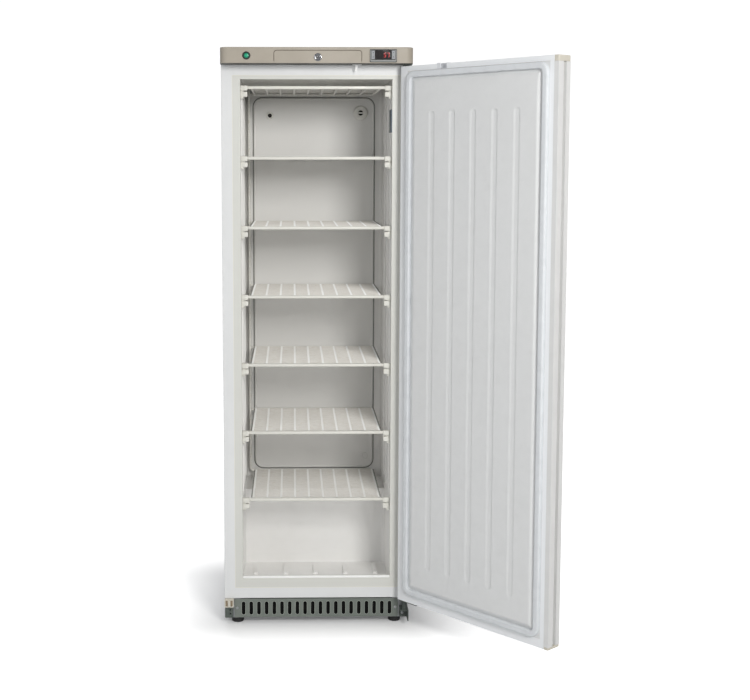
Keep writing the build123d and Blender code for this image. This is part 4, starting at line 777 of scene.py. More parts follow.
def risers():
    """Both upright tubes at the rear left, each bent round into the lowest shelf's tube at its foot."""
    top, back = corners("riser_tubes")[1][2], corners("riser_tubes")[1][1] - TUBE_RADIUS
    x, lowest = middle("riser_tubes")[0], shelf_levels()[0]
    patches = []
    for y in (back - FEED_BACK, back):
        route = rounded_route([(x, y, top), (x, y, lowest), (x + 24 * MM, y, lowest)], [15 * MM])
        patches.append(tube(route, TUBE_RADIUS, 12, up=TO_BACK))
    return surface("riser_tube_pair", patches)


def shelf_wire_mesh():
    """Fine wires laid across the tubes: a six-sided rod at every pitch of every shelf."""
    low, high = corners("shelf_wires")
    patches = []
    for level in shelf_levels():
        z = level + TUBE_RADIUS + WIRE_RADIUS + WIRE_GAP
        for y in np.linspace(low[1] + WIRE_RADIUS, high[1] - WIRE_RADIUS, WIRES_PER_SHELF):
            patches.append(tube(np.array([[low[0], y, z], [high[0], y, z]]), WIRE_RADIUS, 6))
    return surface("shelf_wire_grid", patches)


def front_bars():
    """Front bars: a rounded outline with a shallow finger line, carried across; the ends are rounded in."""
    y, reach = middle("shelf_front_bars")[1], corners("shelf_front_bars")[1][0]
    outline = rounded_outline(4 * MM, 5 * MM, 3 * MM, 5)
    outline[:, 0] -= 0.35 * MM * np.exp(-((outline[:, 1] / (0.9 * MM)) ** 2)) * np.sign(outline[:, 0])
    x = np.array([-reach, -reach + 0.8 * MM, -reach / 3, reach / 3, reach - 0.8 * MM, reach])
    patches = []
    for level in shelf_levels():
        path = np.stack([x, np.full(6, y), np.full(6, level)], axis=1)
        size = np.array([0.86, 1, 1, 1, 1, 0.86])[:, None]
        side = np.tile([0.0, 1.0, 0.0], (6, 1)) * size
        patches.append(carried(outline, path, side, np.tile(UP, (6, 1)) * size))
    return surface("front_bar_row", patches)


def bar_end_clips():
    """End clips: two rounded blocks with a slit between them, a web behind and a small tail."""
    low, high = corners("bar_clips")
    blocks = (  # reach from the wall, front, foot and top under the clip's top, rounding
        (22, 0, 16, 0, 2.2), (22, 1.5, 35.5, 19.5, 2.2), (9.9, 4, 41.5, 15, 1.5), (5, 1, 38.5, 32.5, 1),
    )
    patches = []
    for hand in HANDS:
        for level in shelf_levels():
            for reach, front, foot, top, radius in blocks:
                x0, x1 = sorted((hand * high[0], hand * (high[0] - reach * MM)))
                z = level + 6.4 * MM
                block = (x0, low[1] + front * MM, z - foot * MM), (x1, high[1], z - top * MM)
                patches.append(rounded_block(*block, radius * MM))
    return surface("bar_clip_set", patches)


# ------------------------------------------------------------------ back-wall fittings
def on_wall(node):
    """Middle of a fitting of the back wall, moved to the wall's plane."""
    return middle(node, corners(node)[1][1])


def probe_ring():
    """Ring round the probe hole: a rounded collar with a bore."""
    rim = [(7, 0), (7, 3.2), (7.8, 4.6), (9.0, 5.0), (11.2, 4.6), (12.6, 3.2), (13, 1.6), (13, 0)]
    return surface("probe_ring", [turned(rim, on_wall("probe_socket"), TO_FRONT, 40, True)])


def vent_ring():
    """Vent disc: a flat dome with a round hole and one bar across it."""
    centre = on_wall("vent_disc")
    rim = [(9, 0), (9, 6.6), (10, 7.7), (14, 8.0), (20, 7.5), (23.4, 6.0), (25, 3.4), (25, 0)]
    bar = np.array([[-12, -6.5, -2.5], [12, -1.5, 2.5]]) * MM + centre
    return surface("vent_ring", [turned(rim, centre, TO_FRONT, 48, True), rounded_block(*bar, 1.2 * MM)])


def painted_shade_hole(name, node, radius):
    """Painted shade in a fitting's bore: a dark, low dished disc at its end, its radius in millimetres."""
    dish = [(0, 0.6), (radius * 0.7, 0.8), (radius, 1.2), (radius, 0), (0, 0)]
    return surface(name, [turned(dish, on_wall(node), TO_FRONT, 32)])


def pressed_circle():
    """Faint pressed circle low on the back wall: a thin raised ring."""
    centre = (182 * MM, on_wall("vent_disc")[1], 458 * MM)
    rim = [(8.2, 0), (8.8, 0.7), (10, 1.0), (11.2, 0.7), (11.8, 0)]
    return surface("pressed_circle", [turned(rim, centre, TO_FRONT, 40, True)])


def wall_plate():
    """Thin bare plate on the right wall of the store room, with rounded edges."""
    low = (STORE_HALF - 3.2 * MM, -230 * MM, 1600 * MM)
    high = (STORE_HALF, -150 * MM, 1673 * MM)
    return surface("wall_plate", [rounded_block(low, high, 1.2 * MM)])


# ------------------------------------------------------------------ fascia's controls
def switch_ring():
    """Switch bezel: a rolled rim, a collar through the fascia and the bore for the button."""
    rim = [(8.5, -18.8), (8.5, 1.7), (9.1, 2.4), (10.2, 2.5), (11.5, 2.2), (12.3, 1.4), (12.5, 0.2),
           (12.5, 0), (10.4, 0), (10.4, -18.8)]
    return surface("switch_ring", [turned(rim, middle("switch_bezel", FASCIA_FRONT), TO_FRONT, 48, True)])


def switch_lens():
    """Lit button: a shallow dome on a plain stem."""
    dome = [(0, 4.0), (3, 3.95), (5.5, 3.7), (7.2, 3.1), (8.1, 2.3), (8.4, 1.4), (8.4, -10), (0, -10)]
    return surface("switch_lens", [turned(dome, middle("switch_button", FASCIA_FRONT), TO_FRONT, 40)])


def lock_collar():
    """Lock barrel: a bevelled flange with a dark step round the plug, and the barrel behind."""
    rim = [(7.05, -29.4), (7.05, 0.4), (8.4, 0.5), (9.0, 1.3), (9.6, 1.5), (11.2, 1.4), (12.1, 0.9),
           (12.5, 0.2), (12.5, 0), (9.4, 0), (9.4, -29.4)]
    return surface("lock_collar", [turned(rim, middle("lock_barrel", FASCIA_FRONT), TO_FRONT, 48, True)])


def key_slot():
    """Painted shade of the keyway: a dark narrow block with a round middle, seen in the plug's slot."""
    centre = middle("lock_barrel", FASCIA_FRONT - 1.8 * MM)
    slit = np.array([[-0.8, -0.1, -3.9], [0.8, 3, 3.9]]) * MM + centre
    post = turned([(0, 0.15), (2.2, 0.1), (2.5, -0.2), (2.5, -2), (0, -2)], centre, TO_FRONT, 24)
    return surface("key_slot", [rounded_block(*slit, 0.5 * MM), post])


def controller_plate():
    """Grey face plate of the controller: the strip between an outer and an inner rounded outline."""
    x, front, z = middle("controller_housing", corners("controller_housing")[0][1])
    outer = rounded_outline(40.4 * MM, 18.4 * MM, 3.4 * MM)
    inner = rounded_outline(37.6 * MM, 15.4 * MM, 1.4 * MM)
    inner[:, 1] += 2.6 * MM
    profile = ((0, 0.0), (0, 0.5), (0.08, 0.75), (0.9, 0.75), (1, 0.5), (1, 0.0))
    loops = [upright(outer + share * (inner - outer), x, front - rise * MM, z) for share, rise in profile]
    return surface("controller_plate", [(np.array(loops), True, True)])


FIGURE = (7.0, 14.0, 1.7)  # width, height and stroke, millimetres
FIGURE_SLANT = 0.12
FIGURES = ((0.0, "afgcd"), (10.2, "abc"))  # how far right each starts, and its bars


def display_digits():
    """Two lit figures, each from slanted bars: a bar is a rounded block sheared to the right with height."""
    wide, tall, thick = FIGURE
    half, far = tall / 2, wide - thick
    bars = {  # low and high corner of each bar that is lit
        "a": (0, tall - thick, wide, tall), "g": (0, half - thick / 2, wide, half + thick / 2),
        "d": (0, 0, wide, thick), "f": (0, half, thick, tall),
        "b": (far, half, wide, tall), "c": (far, 0, wide, half),
    }
    start = np.array([RED_FIGURES_AT[0], corners("display_window")[0][1] - 0.1 * MM, RED_FIGURES_AT[1]])
    patches = []
    for right, letters in FIGURES:
        for letter in letters:
            x0, z0, x1, z1 = (v * MM for v in bars[letter])
            grid, *closed = rounded_block((x0, -0.15 * MM, z0), (x1, 0.15 * MM, z1), 0.14 * MM, 2)
            grid = grid + start + grid[..., 2:] * [FIGURE_SLANT, 0, 0] + [right * MM, 0, 0]
            patches.append((grid, *closed))
    return surface("display_digits", patches)


def key_marks(node, name):
    """Small arrow marks on a key pad: low three-sided studs that point up and down."""
    centre = middle(node, corners(node)[0][1] + 0.4 * MM)
    stud = [(0, 0.5), (1.9, 0.45), (2.2, 0.1), (2.2, -0.4), (0, -0.4)]
    patches = [
        turned(stud, centre + way * 6.5 * MM * UP, TO_FRONT, 3, turn=math.pi / 2 * way) for way in (-1, 1)
    ]
    return surface(name, patches, 20)


# ------------------------------------------------------------------ base
SLOT_COUNT, SLOT_PITCH, SLOT_SHIFT = 20, 25.2 * MM, 1.0 * MM
SHADE_SHEET_HALF = 262 * MM
SHADE_SHEET_WAVE = 0.6 * MM


def slot_lips():
    """Rolled lip round every slot of the grille: a round bead carried along the stadium outline."""
    front, z = corners("lower_grille")[0][1], middle("lower_grille")[2]
    outline = rounded_outline(6.5 * MM, 22.5 * MM, 6.45 * MM, 7)
    places = SLOT_SHIFT + (np.arange(SLOT_COUNT) - (SLOT_COUNT - 1) / 2) * SLOT_PITCH
    patches = [tube(upright(outline, x, front, z), 0.7 * MM, 6, closed=True, up=TO_FRONT) for x in places]
    return surface("slot_lips", patches)


def cover_sockets():
    """Brown ends of the two screw sockets in the unused hinge's cover."""
    low, high = corners("spare_hinge_cover")
    patches = []
    for x in middle("spare_hinge_cover")[0] + np.array([-8, 8]) * MM:
        near = (x - 3.4 * MM, low[1] + 2.5 * MM, low[2] + 4.5 * MM)
        far = (x + 3.4 * MM, low[1] + 8.8 * MM, high[2] - 4.5 * MM)
        patches.append(rounded_block(near, far, 1.5 * MM))
    return surface("cover_sockets", patches)


def grille_shade_sheet():
    """Painted shade behind the slots: a dark sheet, slightly wavy: y = back + wave * sin along x."""
    x = np.linspace(-SHADE_SHEET_HALF, SHADE_SHEET_HALF, 60)
    z = np.array([22.5, 40, 60, 80]) * MM
    gx, gz = np.meshgrid(x, z, indexing="ij")
    y = corners("lower_grille")[1][1] + 2 * MM + SHADE_SHEET_WAVE * np.sin(gx * 90)
    piece = surface("grille_shade_sheet", [(np.stack([gx, y, gz], axis=-1), False, False)])
    return walled(piece, 1.5 * MM)


def levelling_foot(node):
    """Levelling foot: a bevelled disc with finger grips, a six-sided neck and a threaded stud."""
    centre = middle(node) * [1, 1, 0]
    disc = [(0, 0), (17, 0), (18.6, 0.6), (20, 2.4), (20, 13.4), (19.3, 15.2), (17.6, 16), (8, 16.3),
            (0, 16.3)]
    neck = [(0, 16), (9.5, 16), (9.5, 19), (8.9, 19.5), (0, 19.5)]
    turns = [point for i in range(14) for point in ((5.0, 19.4 + i * 2.4), (4.5, 20.6 + i * 2.4))]
    thread = [(0, 19)] + turns + [(4.4, 53), (3.6, 54), (0, 54)]
    patches = [
        turned(disc, centre, UP, 96, waves=24, swing=0.035),
        turned(neck, centre, UP, 6),
        turned(thread, centre, UP, 20),
    ]
    return surface(node + "_turned", patches, 30)


def roller(node):
    """Transport roller: a tread with rounded shoulders, dished sides and a bore."""
    centre = middle(node)
    centre[0] = corners(node)[0][0]
    side = [(3.05, 0), (6.5, 0), (7.5, 1.6), (13, 1.6), (14.5, 0.2), (16.4, 0.4), (17.7, 2.2), (18, 5),
            (17.8, 10)]
    other = [(r, 20 - h) for r, h in side[::-1][1:]]
    return surface(node + "_turned", [turned(side + other, centre, (1, 0, 0), 48, True)], 30)


BASE_SCREW, PANEL_SCREW, HINGE_SCREW = 259 * MM, 292 * MM, 282 * MM  # how far each stands off the middle
BASE_SCREW_LEVEL = 53 * MM
PANEL_SCREW_LEVELS = (475 * MM, 1075.5 * MM, 1676 * MM)
HINGE_SCREW_LEVELS = (35 * MM, 47.5 * MM)


def screw_places():
    """Where the screws sit and which way their heads face: base front, back panel and lower hinge, whose
    plate is as far forward as the unused hinge's."""
    back, hinge = corners("back_panel")[1][1], corners("spare_hinge_plate")[0][1]
    places = [((hand * BASE_SCREW, FRAME_FRONT, BASE_SCREW_LEVEL), TO_FRONT) for hand in HANDS]
    places += [((hand * PANEL_SCREW, back, z), TO_BACK) for hand in HANDS for z in PANEL_SCREW_LEVELS]
    return places + [((HINGE_SCREW, hinge, z), TO_FRONT) for z in HINGE_SCREW_LEVELS]


def screw_heads():
    """Pan heads with a cross recess: height = dome(r) - depth where |u| or |v| is small and r is inside."""
    radius, height, recess = 4.5 * MM, 2.5 * MM, 1.3 * MM
    share = np.array([0, 0.12, 0.22, 0.32, 0.42, 0.5, 0.58, 0.68, 0.8, 0.9, 0.97, 1.0])[:, None]
    q = (np.arange(32) * 2 * math.pi / 32)[None, :]
    u, v = radius * share * np.cos(q), radius * share * np.sin(q)
    dome = height * (1 - 0.28 * share**2 - 0.35 * np.clip((share - 0.85) / 0.15, 0, 1) ** 2)
    narrow = np.minimum(np.abs(u), np.abs(v))
    cross = np.clip(1 - (narrow / (0.75 * MM)) ** 4, 0, 1) * np.clip((0.62 - share) / 0.1, 0, 1)
    out = [(u, v, dome - recess * cross)]
    for part, depth in ((1.0, 0.0), (0.45, 0.0), (0.45, -4.5 * MM), (0.0, -5.5 * MM)):
        out.append((part * u[-1:], part * v[-1:], np.full_like(u[-1:], depth)))
    u, v, h = (np.concatenate(rows)[..., None] for rows in zip(*out))
    patches = [
        (np.asarray(centre) + u * np.cross(axis, UP) + v * UP + h * axis, False, True)
        for centre, axis in screw_places()
    ]
    return surface("screw_heads", patches, 35)


# ------------------------------------------------------------------ door
def smooth(x):
    """0 below 0, 1 above 1, and 3x^2 - 2x^3 between."""
    x = np.clip(x, 0, 1)
    return x * x * (3 - 2 * x)


def inside_rounded(t, z, half_t, half_z, radius):
    """Distance inside a rounded rectangle's border, negative outside."""
    a, b = np.abs(t) - (half_t - radius), np.abs(z) - (half_z - radius)
    outside = np.hypot(np.maximum(a, 0), np.maximum(b, 0)) + np.minimum(np.maximum(a, b), 0) - radius
    return -outside


# The door's inner side, in its own axes: t along the door from the hinge, z up, n out of its front.
PANEL_T, PANEL_HALF_T = 289 * MM, 251.5 * MM
PANEL_Z, PANEL_HALF_Z = 953.5 * MM, 812.5 * MM
PANEL_BORDER = 20.6 * MM  # flat border round the raised panel
PANEL_SLOPE, PANEL_CORNER = 18 * MM, 12 * MM
DOOR_BACK = -19 * MM  # n of the inner skin's border
PANEL_RISE = 9 * MM
GROOVE_LOW, GROOVE_HIGH = 221 * MM, 1664 * MM
GROOVE_COUNT, GROOVE_PITCH, GROOVE_HALF, GROOVE_DEPTH = 5, 82 * MM, 12 * MM, 1.4 * MM
SEAL_FROM_PANEL = 10.5 * MM


def spread(marks, fine, coarse, reach):
    """Places with fine steps within reach of the marks and coarse steps elsewhere."""
    out, at, end = [], marks[0], marks[-1]
    marks = np.array(marks)
    while at < end:
        out.append(at)
        at += fine if np.abs(marks - at).min() < reach else coarse
    return np.array(out + [end])


def door_inside():
    """Pressed inner skin of the door: n falls from the plate by the raised panel's rounded slope and comes
    back by the grooves, each a shallow stadium with a soft hinge side and a crisp free side."""
    grooves = PANEL_T + (np.arange(GROOVE_COUNT) - (GROOVE_COUNT - 1) / 2) * GROOVE_PITCH
    steps = np.array([-PANEL_BORDER, 0, PANEL_SLOPE])
    t_left, z_low = PANEL_T - PANEL_HALF_T + steps, PANEL_Z - PANEL_HALF_Z + steps
    t_right, z_high = PANEL_T + PANEL_HALF_T - steps[::-1], PANEL_Z + PANEL_HALF_Z - steps[::-1]
    flanks = [g + way * 11 * MM for g in grooves for way in (-1, 1)]
    low_end, high_end = GROOVE_LOW + GROOVE_HALF, GROOVE_HIGH - GROOVE_HALF
    t = spread([*t_left, *flanks, *t_right], 1.8 * MM, 9 * MM, 8 * MM)
    z = spread([*z_low, GROOVE_LOW, low_end, high_end, GROOVE_HIGH, *z_high], 2.2 * MM, 26 * MM, 11 * MM)
    gt, gz = np.meshgrid(t, z, indexing="ij")
    inside = inside_rounded(gt - PANEL_T, gz - PANEL_Z, PANEL_HALF_T, PANEL_HALF_Z, PANEL_CORNER)
    rise = PANEL_RISE * smooth((inside + 4 * MM) / (22 * MM))
    sunk = np.zeros_like(gt)
    for g in grooves:
        away = np.hypot(gt - g, gz - np.clip(gz, low_end, high_end))
        crisp = smooth((away - 9.0 * MM) / (2.6 * MM))
        soft = smooth((away - 3.0 * MM) / (9.0 * MM))
        sunk = np.maximum(sunk, GROOVE_DEPTH * (1 - np.where(gt > g, crisp, soft)))
    piece = surface("door_inside_skin", [(in_door(gt, DOOR_BACK - rise + sunk, gz), False, False)], 60)
    return walled(piece, 1.8 * MM)


def seal():
    """Magnetic seal: a soft profile with two folds and a flat face, carried round the panel's border."""
    line = rounded_outline(PANEL_HALF_T + SEAL_FROM_PANEL, PANEL_HALF_Z + SEAL_FROM_PANEL, 22 * MM, 10)
    ahead = unit(np.roll(line, -1, 0) - np.roll(line, 1, 0))
    away = np.stack([ahead[:, 1], -ahead[:, 0]], axis=1)
    fold = [(9.4, 0), (9.4, 2.0), (7.4, 3.0), (7.2, 4.4), (9.0, 5.6), (9.4, 7.4), (9.0, 10.6), (7.6, 12.2),
            (4.6, 12.6)]
    profile = np.array([(-a, b) for a, b in fold] + [(0.0, 12.2)] + fold[::-1]) * MM
    path = in_door(PANEL_T + line[:, 0], np.full(len(line), DOOR_BACK), PANEL_Z + line[:, 1])
    side = away[:, :1] * ALONG + away[:, 1:] * UP
    lift = np.tile(-OUTWARD, (len(line), 1))
    return surface("door_seal", [carried(profile, path, side, lift, True)], 50)


def hinge_bushes():
    """Hinge bushes: short collars with a bevelled mouth and the pin's bore."""
    low, high = corners("door_hinge_bushes")
    rim = [(4.1, 0.3), (4.8, 0), (7.4, 0), (8, 0.6), (8, 19.4), (7.4, 20), (4.8, 20), (4.1, 19.7)]
    patches = [
        turned(rim, (HINGE[0], HINGE[1], foot), UP, 32, True) for foot in (low[2], high[2] - 20 * MM)
    ]
    return surface("hinge_bush_pair", patches)


# ------------------------------------------------------------------ machine bay and back
FIELD_ROWS, FIELD_PITCH, FIELD_HEIGHT = 5, 289.5 * MM, 250 * MM
FIELD_HALF, FIELD_MIDDLE = 112.5 * MM, 122.5 * MM


def pressed_back():
    """Back sheet with pressed fields: y = sheet + rise inside each rounded rectangle, sides sloping."""
    low, high = corners("back_panel")
    rows = low[2] + 40 * MM + np.arange(FIELD_ROWS) * FIELD_PITCH
    fields = [side * FIELD_MIDDLE + way * FIELD_HALF for side in HANDS for way in HANDS]
    z_marks = [low[2], *np.stack([rows, rows + FIELD_HEIGHT], axis=1).ravel(), high[2]]
    x = spread([low[0], *fields, high[0]], 2 * MM, 12 * MM, 9 * MM)
    z = spread(z_marks, 2 * MM, 16 * MM, 9 * MM)
    gx, gz = np.meshgrid(x, z, indexing="ij")
    rise = np.zeros_like(gx)
    for row in rows + FIELD_HEIGHT / 2:
        for side in HANDS:
            away = gx - side * FIELD_MIDDLE, gz - row
            inside = inside_rounded(*away, FIELD_HALF, FIELD_HEIGHT / 2, 18 * MM)
            rise = np.maximum(rise, 2.4 * MM * smooth(inside / (6 * MM)))
    sheet = np.stack([gx, low[1] + 0.5 * MM + rise, gz], axis=-1)
    return walled(surface("pressed_back_sheet", [(sheet, False, False)], 60), 0.9 * MM)


def compressor_shell():
    """Hermetic shell: an ellipse (a - d) cos q, (b - d) sin q at each height, d from a domed profile; a
    welded belt round it, a foot plate and two stubs."""
    base, q = 38.5 * MM, np.arange(64) * 2 * math.pi / 64
    dome = [(30, 0), (14, 0.8), (4, 5), (0, 14), (0, 86), (-1, 89), (-5, 90), (-5, 94.5), (-1, 95.5), (0, 98),
            (0, 130), (2.5, 142), (9, 152), (20, 160), (34, 164), (52, 165), (71, 165)]
    rows = [np.broadcast_to([BAY_X, BAY_Y, base], (64, 3))]
    for d, h in dome:
        x, y = BAY_X + (105 - d) * MM * np.cos(q), BAY_Y + (72 - d) * MM * np.sin(q)
        rows.append(np.stack([x, y, np.full(64, base + h * MM)], axis=1))
    rows.append(np.broadcast_to([BAY_X, BAY_Y, base + 165 * MM], (64, 3)))
    patches = [(np.array(rows), False, True)]
    for x in (BAY_X - 51.5 * MM, BAY_X + 51.5 * MM):
        near, far = (x - 51.5 * MM, BAY_Y - 68 * MM, base - 3 * MM), (x + 51.5 * MM, BAY_Y + 68 * MM, base)
        patches.append(rounded_block(near, far, 1 * MM))
    stub = np.array([(0, 0), (4, 0), (4, 20), (5.2, 21), (5.2, 24), (4, 25), (4, 34), (0, 34)])
    patches.append(turned(stub, (BAY_X - 60 * MM, BAY_Y, 186 * MM), UP, 20))
    patches.append(turned(stub * [0.8, 1.05], (BAY_X + 50 * MM, BAY_Y + 20 * MM, 188 * MM), UP, 20))
    return surface("compressor_shell", patches, 35)


def rubber_mounts():
    """Mounts: ribbed grommets with a neck."""
    rim = [(0, 0), (11, 0), (12, 1), (12, 4), (10.4, 5.4), (10.4, 8), (12, 9.4), (12, 13), (11, 14), (5, 14),
           (5, 21), (0, 21)]
    patches = [
        turned(rim, (BAY_X + x * MM, BAY_Y + y * MM, 21.5 * MM), UP, 28)
        for x in (-90, 90)
        for y in (-55, 55)
    ]
    return surface("rubber_mounts", patches, 30)


def drier():
    """Filter drier: a spun body between two necks on its tube."""
    foot = middle("filter_drier")
    foot[2] = corners("filter_drier")[0][2]
    body = [(0, 0), (2.5, 0), (2.5, 66), (4, 68), (8, 71), (10, 77), (10, 82), (9.6, 83), (9.6, 85), (10, 86),
            (10, 170), (8, 176), (4, 179), (2.5, 181), (2.5, 246), (0, 246)]
    return surface("drier_body", [turned(body, foot, UP, 28)], 30)


def bay_pipes():
    """Two copper pipes in the machine bay: compressor to condenser, and drier to the low side."""
    up_x, up_top, down_x, out_top = BAY_X - 60 * MM, 262 * MM, -257.5 * MM, 275 * MM
    to_condenser = [
        (up_x, BAY_Y, 215 * MM), (up_x, BAY_Y, up_top), (down_x, 215 * MM, up_top),
        (down_x, CONDENSER_Y, 240 * MM), (down_x, CONDENSER_Y, 205 * MM),
    ]
    stub_x, stub_y, drier_x = BAY_X + 50 * MM, BAY_Y + 20 * MM, 130 * MM
    from_drier = [
        (stub_x, stub_y, 215 * MM), (stub_x, stub_y, out_top), (70 * MM, stub_y, out_top),
        (drier_x, BAY_Y, out_top), (drier_x, BAY_Y, 255 * MM),
    ]
    slanted = np.array([0.3, 1.0, 0.2])
    patches = []
    for points, bends in ((to_condenser, (12, 14, 8)), (from_drier, (14, 20, 8))):
        route = rounded_route(points, [bend * MM for bend in bends])
        patches.append(tube(route, 2.4 * MM, 10, up=slanted))
    return surface("bay_pipes", patches)


CONDENSER_HALF, CONDENSER_ROWS, CONDENSER_PITCH, CONDENSER_FIRST = 255 * MM, 23, 60 * MM, 390 * MM
STRAP_X, STRAP_HALF = 215 * MM, 7 * MM
STRAP_ENDS, STRAP_FEET = (370 * MM, 1730 * MM), (410 * MM, 1660 * MM)
CONDENSER_WIRES, CONDENSER_WIRE_PITCH = 28, 16 * MM


def condenser_grid():
    """Condenser tube: straight rows joined by half circles, with two upright straps and their feet."""
    left, right, y = -CONDENSER_HALF, CONDENSER_HALF, CONDENSER_Y
    levels = CONDENSER_FIRST + np.arange(CONDENSER_ROWS) * CONDENSER_PITCH
    points = [(left, y, 215 * MM), (left, y, levels[0])]
    for i, (level, following) in enumerate(zip(levels, levels[1:])):
        x = left if i % 2 else right
        points += [(x, y, level), (x, y, following)]
    points.append((right if CONDENSER_ROWS % 2 else left, y, levels[-1]))
    bends = [12 * MM] + [CONDENSER_PITCH / 2 - 0.05 * MM] * 2 * (CONDENSER_ROWS - 1)
    patches = [tube(rounded_route(points, bends), CONDENSER_TUBE, 8, up=TO_BACK)]
    for hand in HANDS:
        x0, x1 = hand * STRAP_X - STRAP_HALF, hand * STRAP_X + STRAP_HALF
        low, high = (x0, y - 4.2 * MM, STRAP_ENDS[0]), (x1, y - 2.2 * MM, STRAP_ENDS[1])
        patches.append(rounded_block(low, high, 0.6 * MM, 2))
        for z in STRAP_FEET:
            low, high = (x0, 262.2 * MM, z), (x1, y - 3.2 * MM, z + 2 * MM)
            patches.append(rounded_block(low, high, 0.6 * MM, 2))
    return surface("condenser_tube", patches)


def condenser_wire_rows():
    """Upright wires welded to the condenser tube."""
    low, high = corners("condenser_wires")
    y, patches = middle("condenser_wires")[1], []
    for x in (np.arange(CONDENSER_WIRES) - (CONDENSER_WIRES - 1) / 2) * CONDENSER_WIRE_PITCH:
        patches.append(tube(np.array([[x, y, low[2]], [x, y, high[2]]]), 0.75 * MM, 8, up=TO_BACK))
    return surface("condenser_wire_rows", patches)


# ------------------------------------------------------------------ pieces that keep the frame's shape
# Body, slot and the rounding of the edges in millimetres.
KEPT_SHAPES = {
    "side_panel_left": ("cabinet", "white_enamel", 0.5),
    "side_panel_right": ("cabinet", "white_enamel", 0.5),
    "top_cover": ("cabinet", "white_enamel", 0.5),
    "machine_bay_panel": ("cabinet", "zinc_steel", 0.3),
    "front_rails": ("cabinet", "white_enamel", 0.6),
    "insulation_foam": ("cabinet", "insulation", 0.0),
    "control_fascia": ("cabinet", "fascia_plastic", 0.5),
    "hook_guide": ("cabinet", "hook_enamel", 0.4),
    "controller_housing": ("cabinet", "black_plastic", 0.4),
    "display_window": ("cabinet", "display_filter", 0.2),
    "lower_grille": ("cabinet", "grille_enamel", 0.6),
    "base_chassis": ("cabinet", "zinc_steel", 0.5),
    "hinge_bottom": ("cabinet", "hinge_steel", 0.8),
    "hinge_top": ("cabinet", "hinge_steel", 0.8),
    "spare_hinge_plate": ("cabinet", "hinge_steel", 0.6),
    "spare_hinge_cover": ("cabinet", "cover_plastic", 0.0),
    "relay_box": ("cabinet", "black_plastic", 1.0),
    "power_inlet": ("cabinet", "black_plastic", 0.8),
    "door_foam": ("door", "insulation", 0.0),
    "door_handle": ("door", "handle_plastic", 0.8),
    "door_handle_caps": ("door", "cover_plastic", 1.0),
    "door_hinge_plate": ("door", "hinge_steel", 0.6),
    "lock_plug": ("lock_plug", "lock_chrome", 0.3),
    "lock_bar": ("lock_bar", "zinc_steel", 0.4),
    "lock_hook": ("lock_hook", "hook_enamel", 0.5),
    "controller_key_left": ("key_left", "key_plastic", 0.0),
    "controller_key_right": ("key_right", "key_plastic", 0.0),
}


def liner():
    """Store-room liner: its own shape, with a full roll along the edges of the mouth."""

    def near(p):
        """True for points on the mouth's edge."""
        side = np.abs(np.abs(p[:, 0]) - STORE_HALF) < 0.5 * MM
        level = np.minimum(np.abs(p[:, 2] - SILL_TOP), np.abs(p[:, 2] - MOUTH_TOP)) < 0.5 * MM
        return (np.abs(p[:, 1] - FRAME_FRONT) < 0.6 * MM) & (side | level)

    return softened("inner_liner", 4.0, fuller=lambda a, b: near(a) & near(b))


def loop_of_tube(name, half, foot, top, y, corner, radius, sides=10, steps=10):
    """A round tube or bead along an upright rounded rectangle, from its foot's height to its top's."""
    outline = rounded_outline(half, (top - foot) / 2, corner, steps)
    path = upright(outline, 0.0, y, (foot + top) / 2)
    return surface(name, [tube(path, radius, sides, closed=True, up=TO_FRONT)])


def seam_bead():
    """Thin bead in the seam between the painted frame and the liner's flange, all the way round."""
    foot, front = corners("inner_liner")[0][2], FRAME_FRONT + 0.75 * MM
    return loop_of_tube("seam_bead", 265 * MM, foot, 1778 * MM, front, 1.5 * MM, 1.0 * MM, 8, 4)


def level_roll(name, half, y, z, radius):
    """A level round edge across the front: a rounded block as thick as its own rounding."""
    low, high = (-half, y - radius, z - radius), (half, y + radius, z + radius)
    return surface(name, [rounded_block(low, high, 0.999 * radius, 5)])


def cold_panel_edge(name, grow, radius, forward):
    """A round edge that follows the raised panel of the back wall, so far outside its outline and so far in
    front of the wall, in millimetres."""
    half, foot, top = 210 * MM + grow * MM, 416.5 * MM - grow * MM, 1728.5 * MM + grow * MM
    return loop_of_tube(name, half, foot, top, COLD_WALL - forward * MM, (30 + grow) * MM, radius * MM)


def panel_line():
    """Painted shade in the groove round the fascia's middle panel, a dark line: up one side, across and down
    the other.
    """
    foot, top, half, y = 1811.5 * MM, 1849.9 * MM, 135.9 * MM, FASCIA_FRONT + 0.9 * MM
    left, right = middle("lock_barrel")[0] + half * np.array(HANDS)
    points = [(left, y, foot), (left, y, top), (right, y, top), (right, y, foot)]
    route = rounded_route(points, [8.9 * MM] * 2)
    return surface("groove_shade_line", [tube(route, 1.0 * MM, 8, up=TO_FRONT)])


# ------------------------------------------------------------------ the freezer, group by group
def dress_store_room():
    """The liner and the beads and rolled edges along it."""
    place(liner(), "cabinet", "liner_plastic", "inner_liner")
    place(seam_bead(), "cabinet", "liner_plastic", finish="cream_seam")
    sill = level_roll("sill_lip", 240.5 * MM, -231.7 * MM, SILL_TOP - 1 * MM, 4.2 * MM)
    place(sill, "cabinet", "liner_plastic", finish="lip_painted_highlight")
    hem = level_roll("rail_hem", 264.5 * MM, -233.5 * MM, 87.8 * MM, 1.6 * MM)
    place(hem, "cabinet", "white_enamel")
    place(cold_panel_edge("cold_panel_roll", -2.2, 2.6, 0.4), "cabinet", "liner_plastic")
    # painted shadow of the gap round the raised panel: a dark cord
    place(cold_panel_edge("cold_panel_shadow_line", 2.6, 1.5, -1.6), "cabinet", "gasket_rubber", finish="cord_painted_shadow")


def dress_kept_shapes():
    """Every piece whose own shape is softened as it is."""
    for node, (body, slot, width) in KEPT_SHAPES.items():
        place(softened(node, width), body, slot, node)


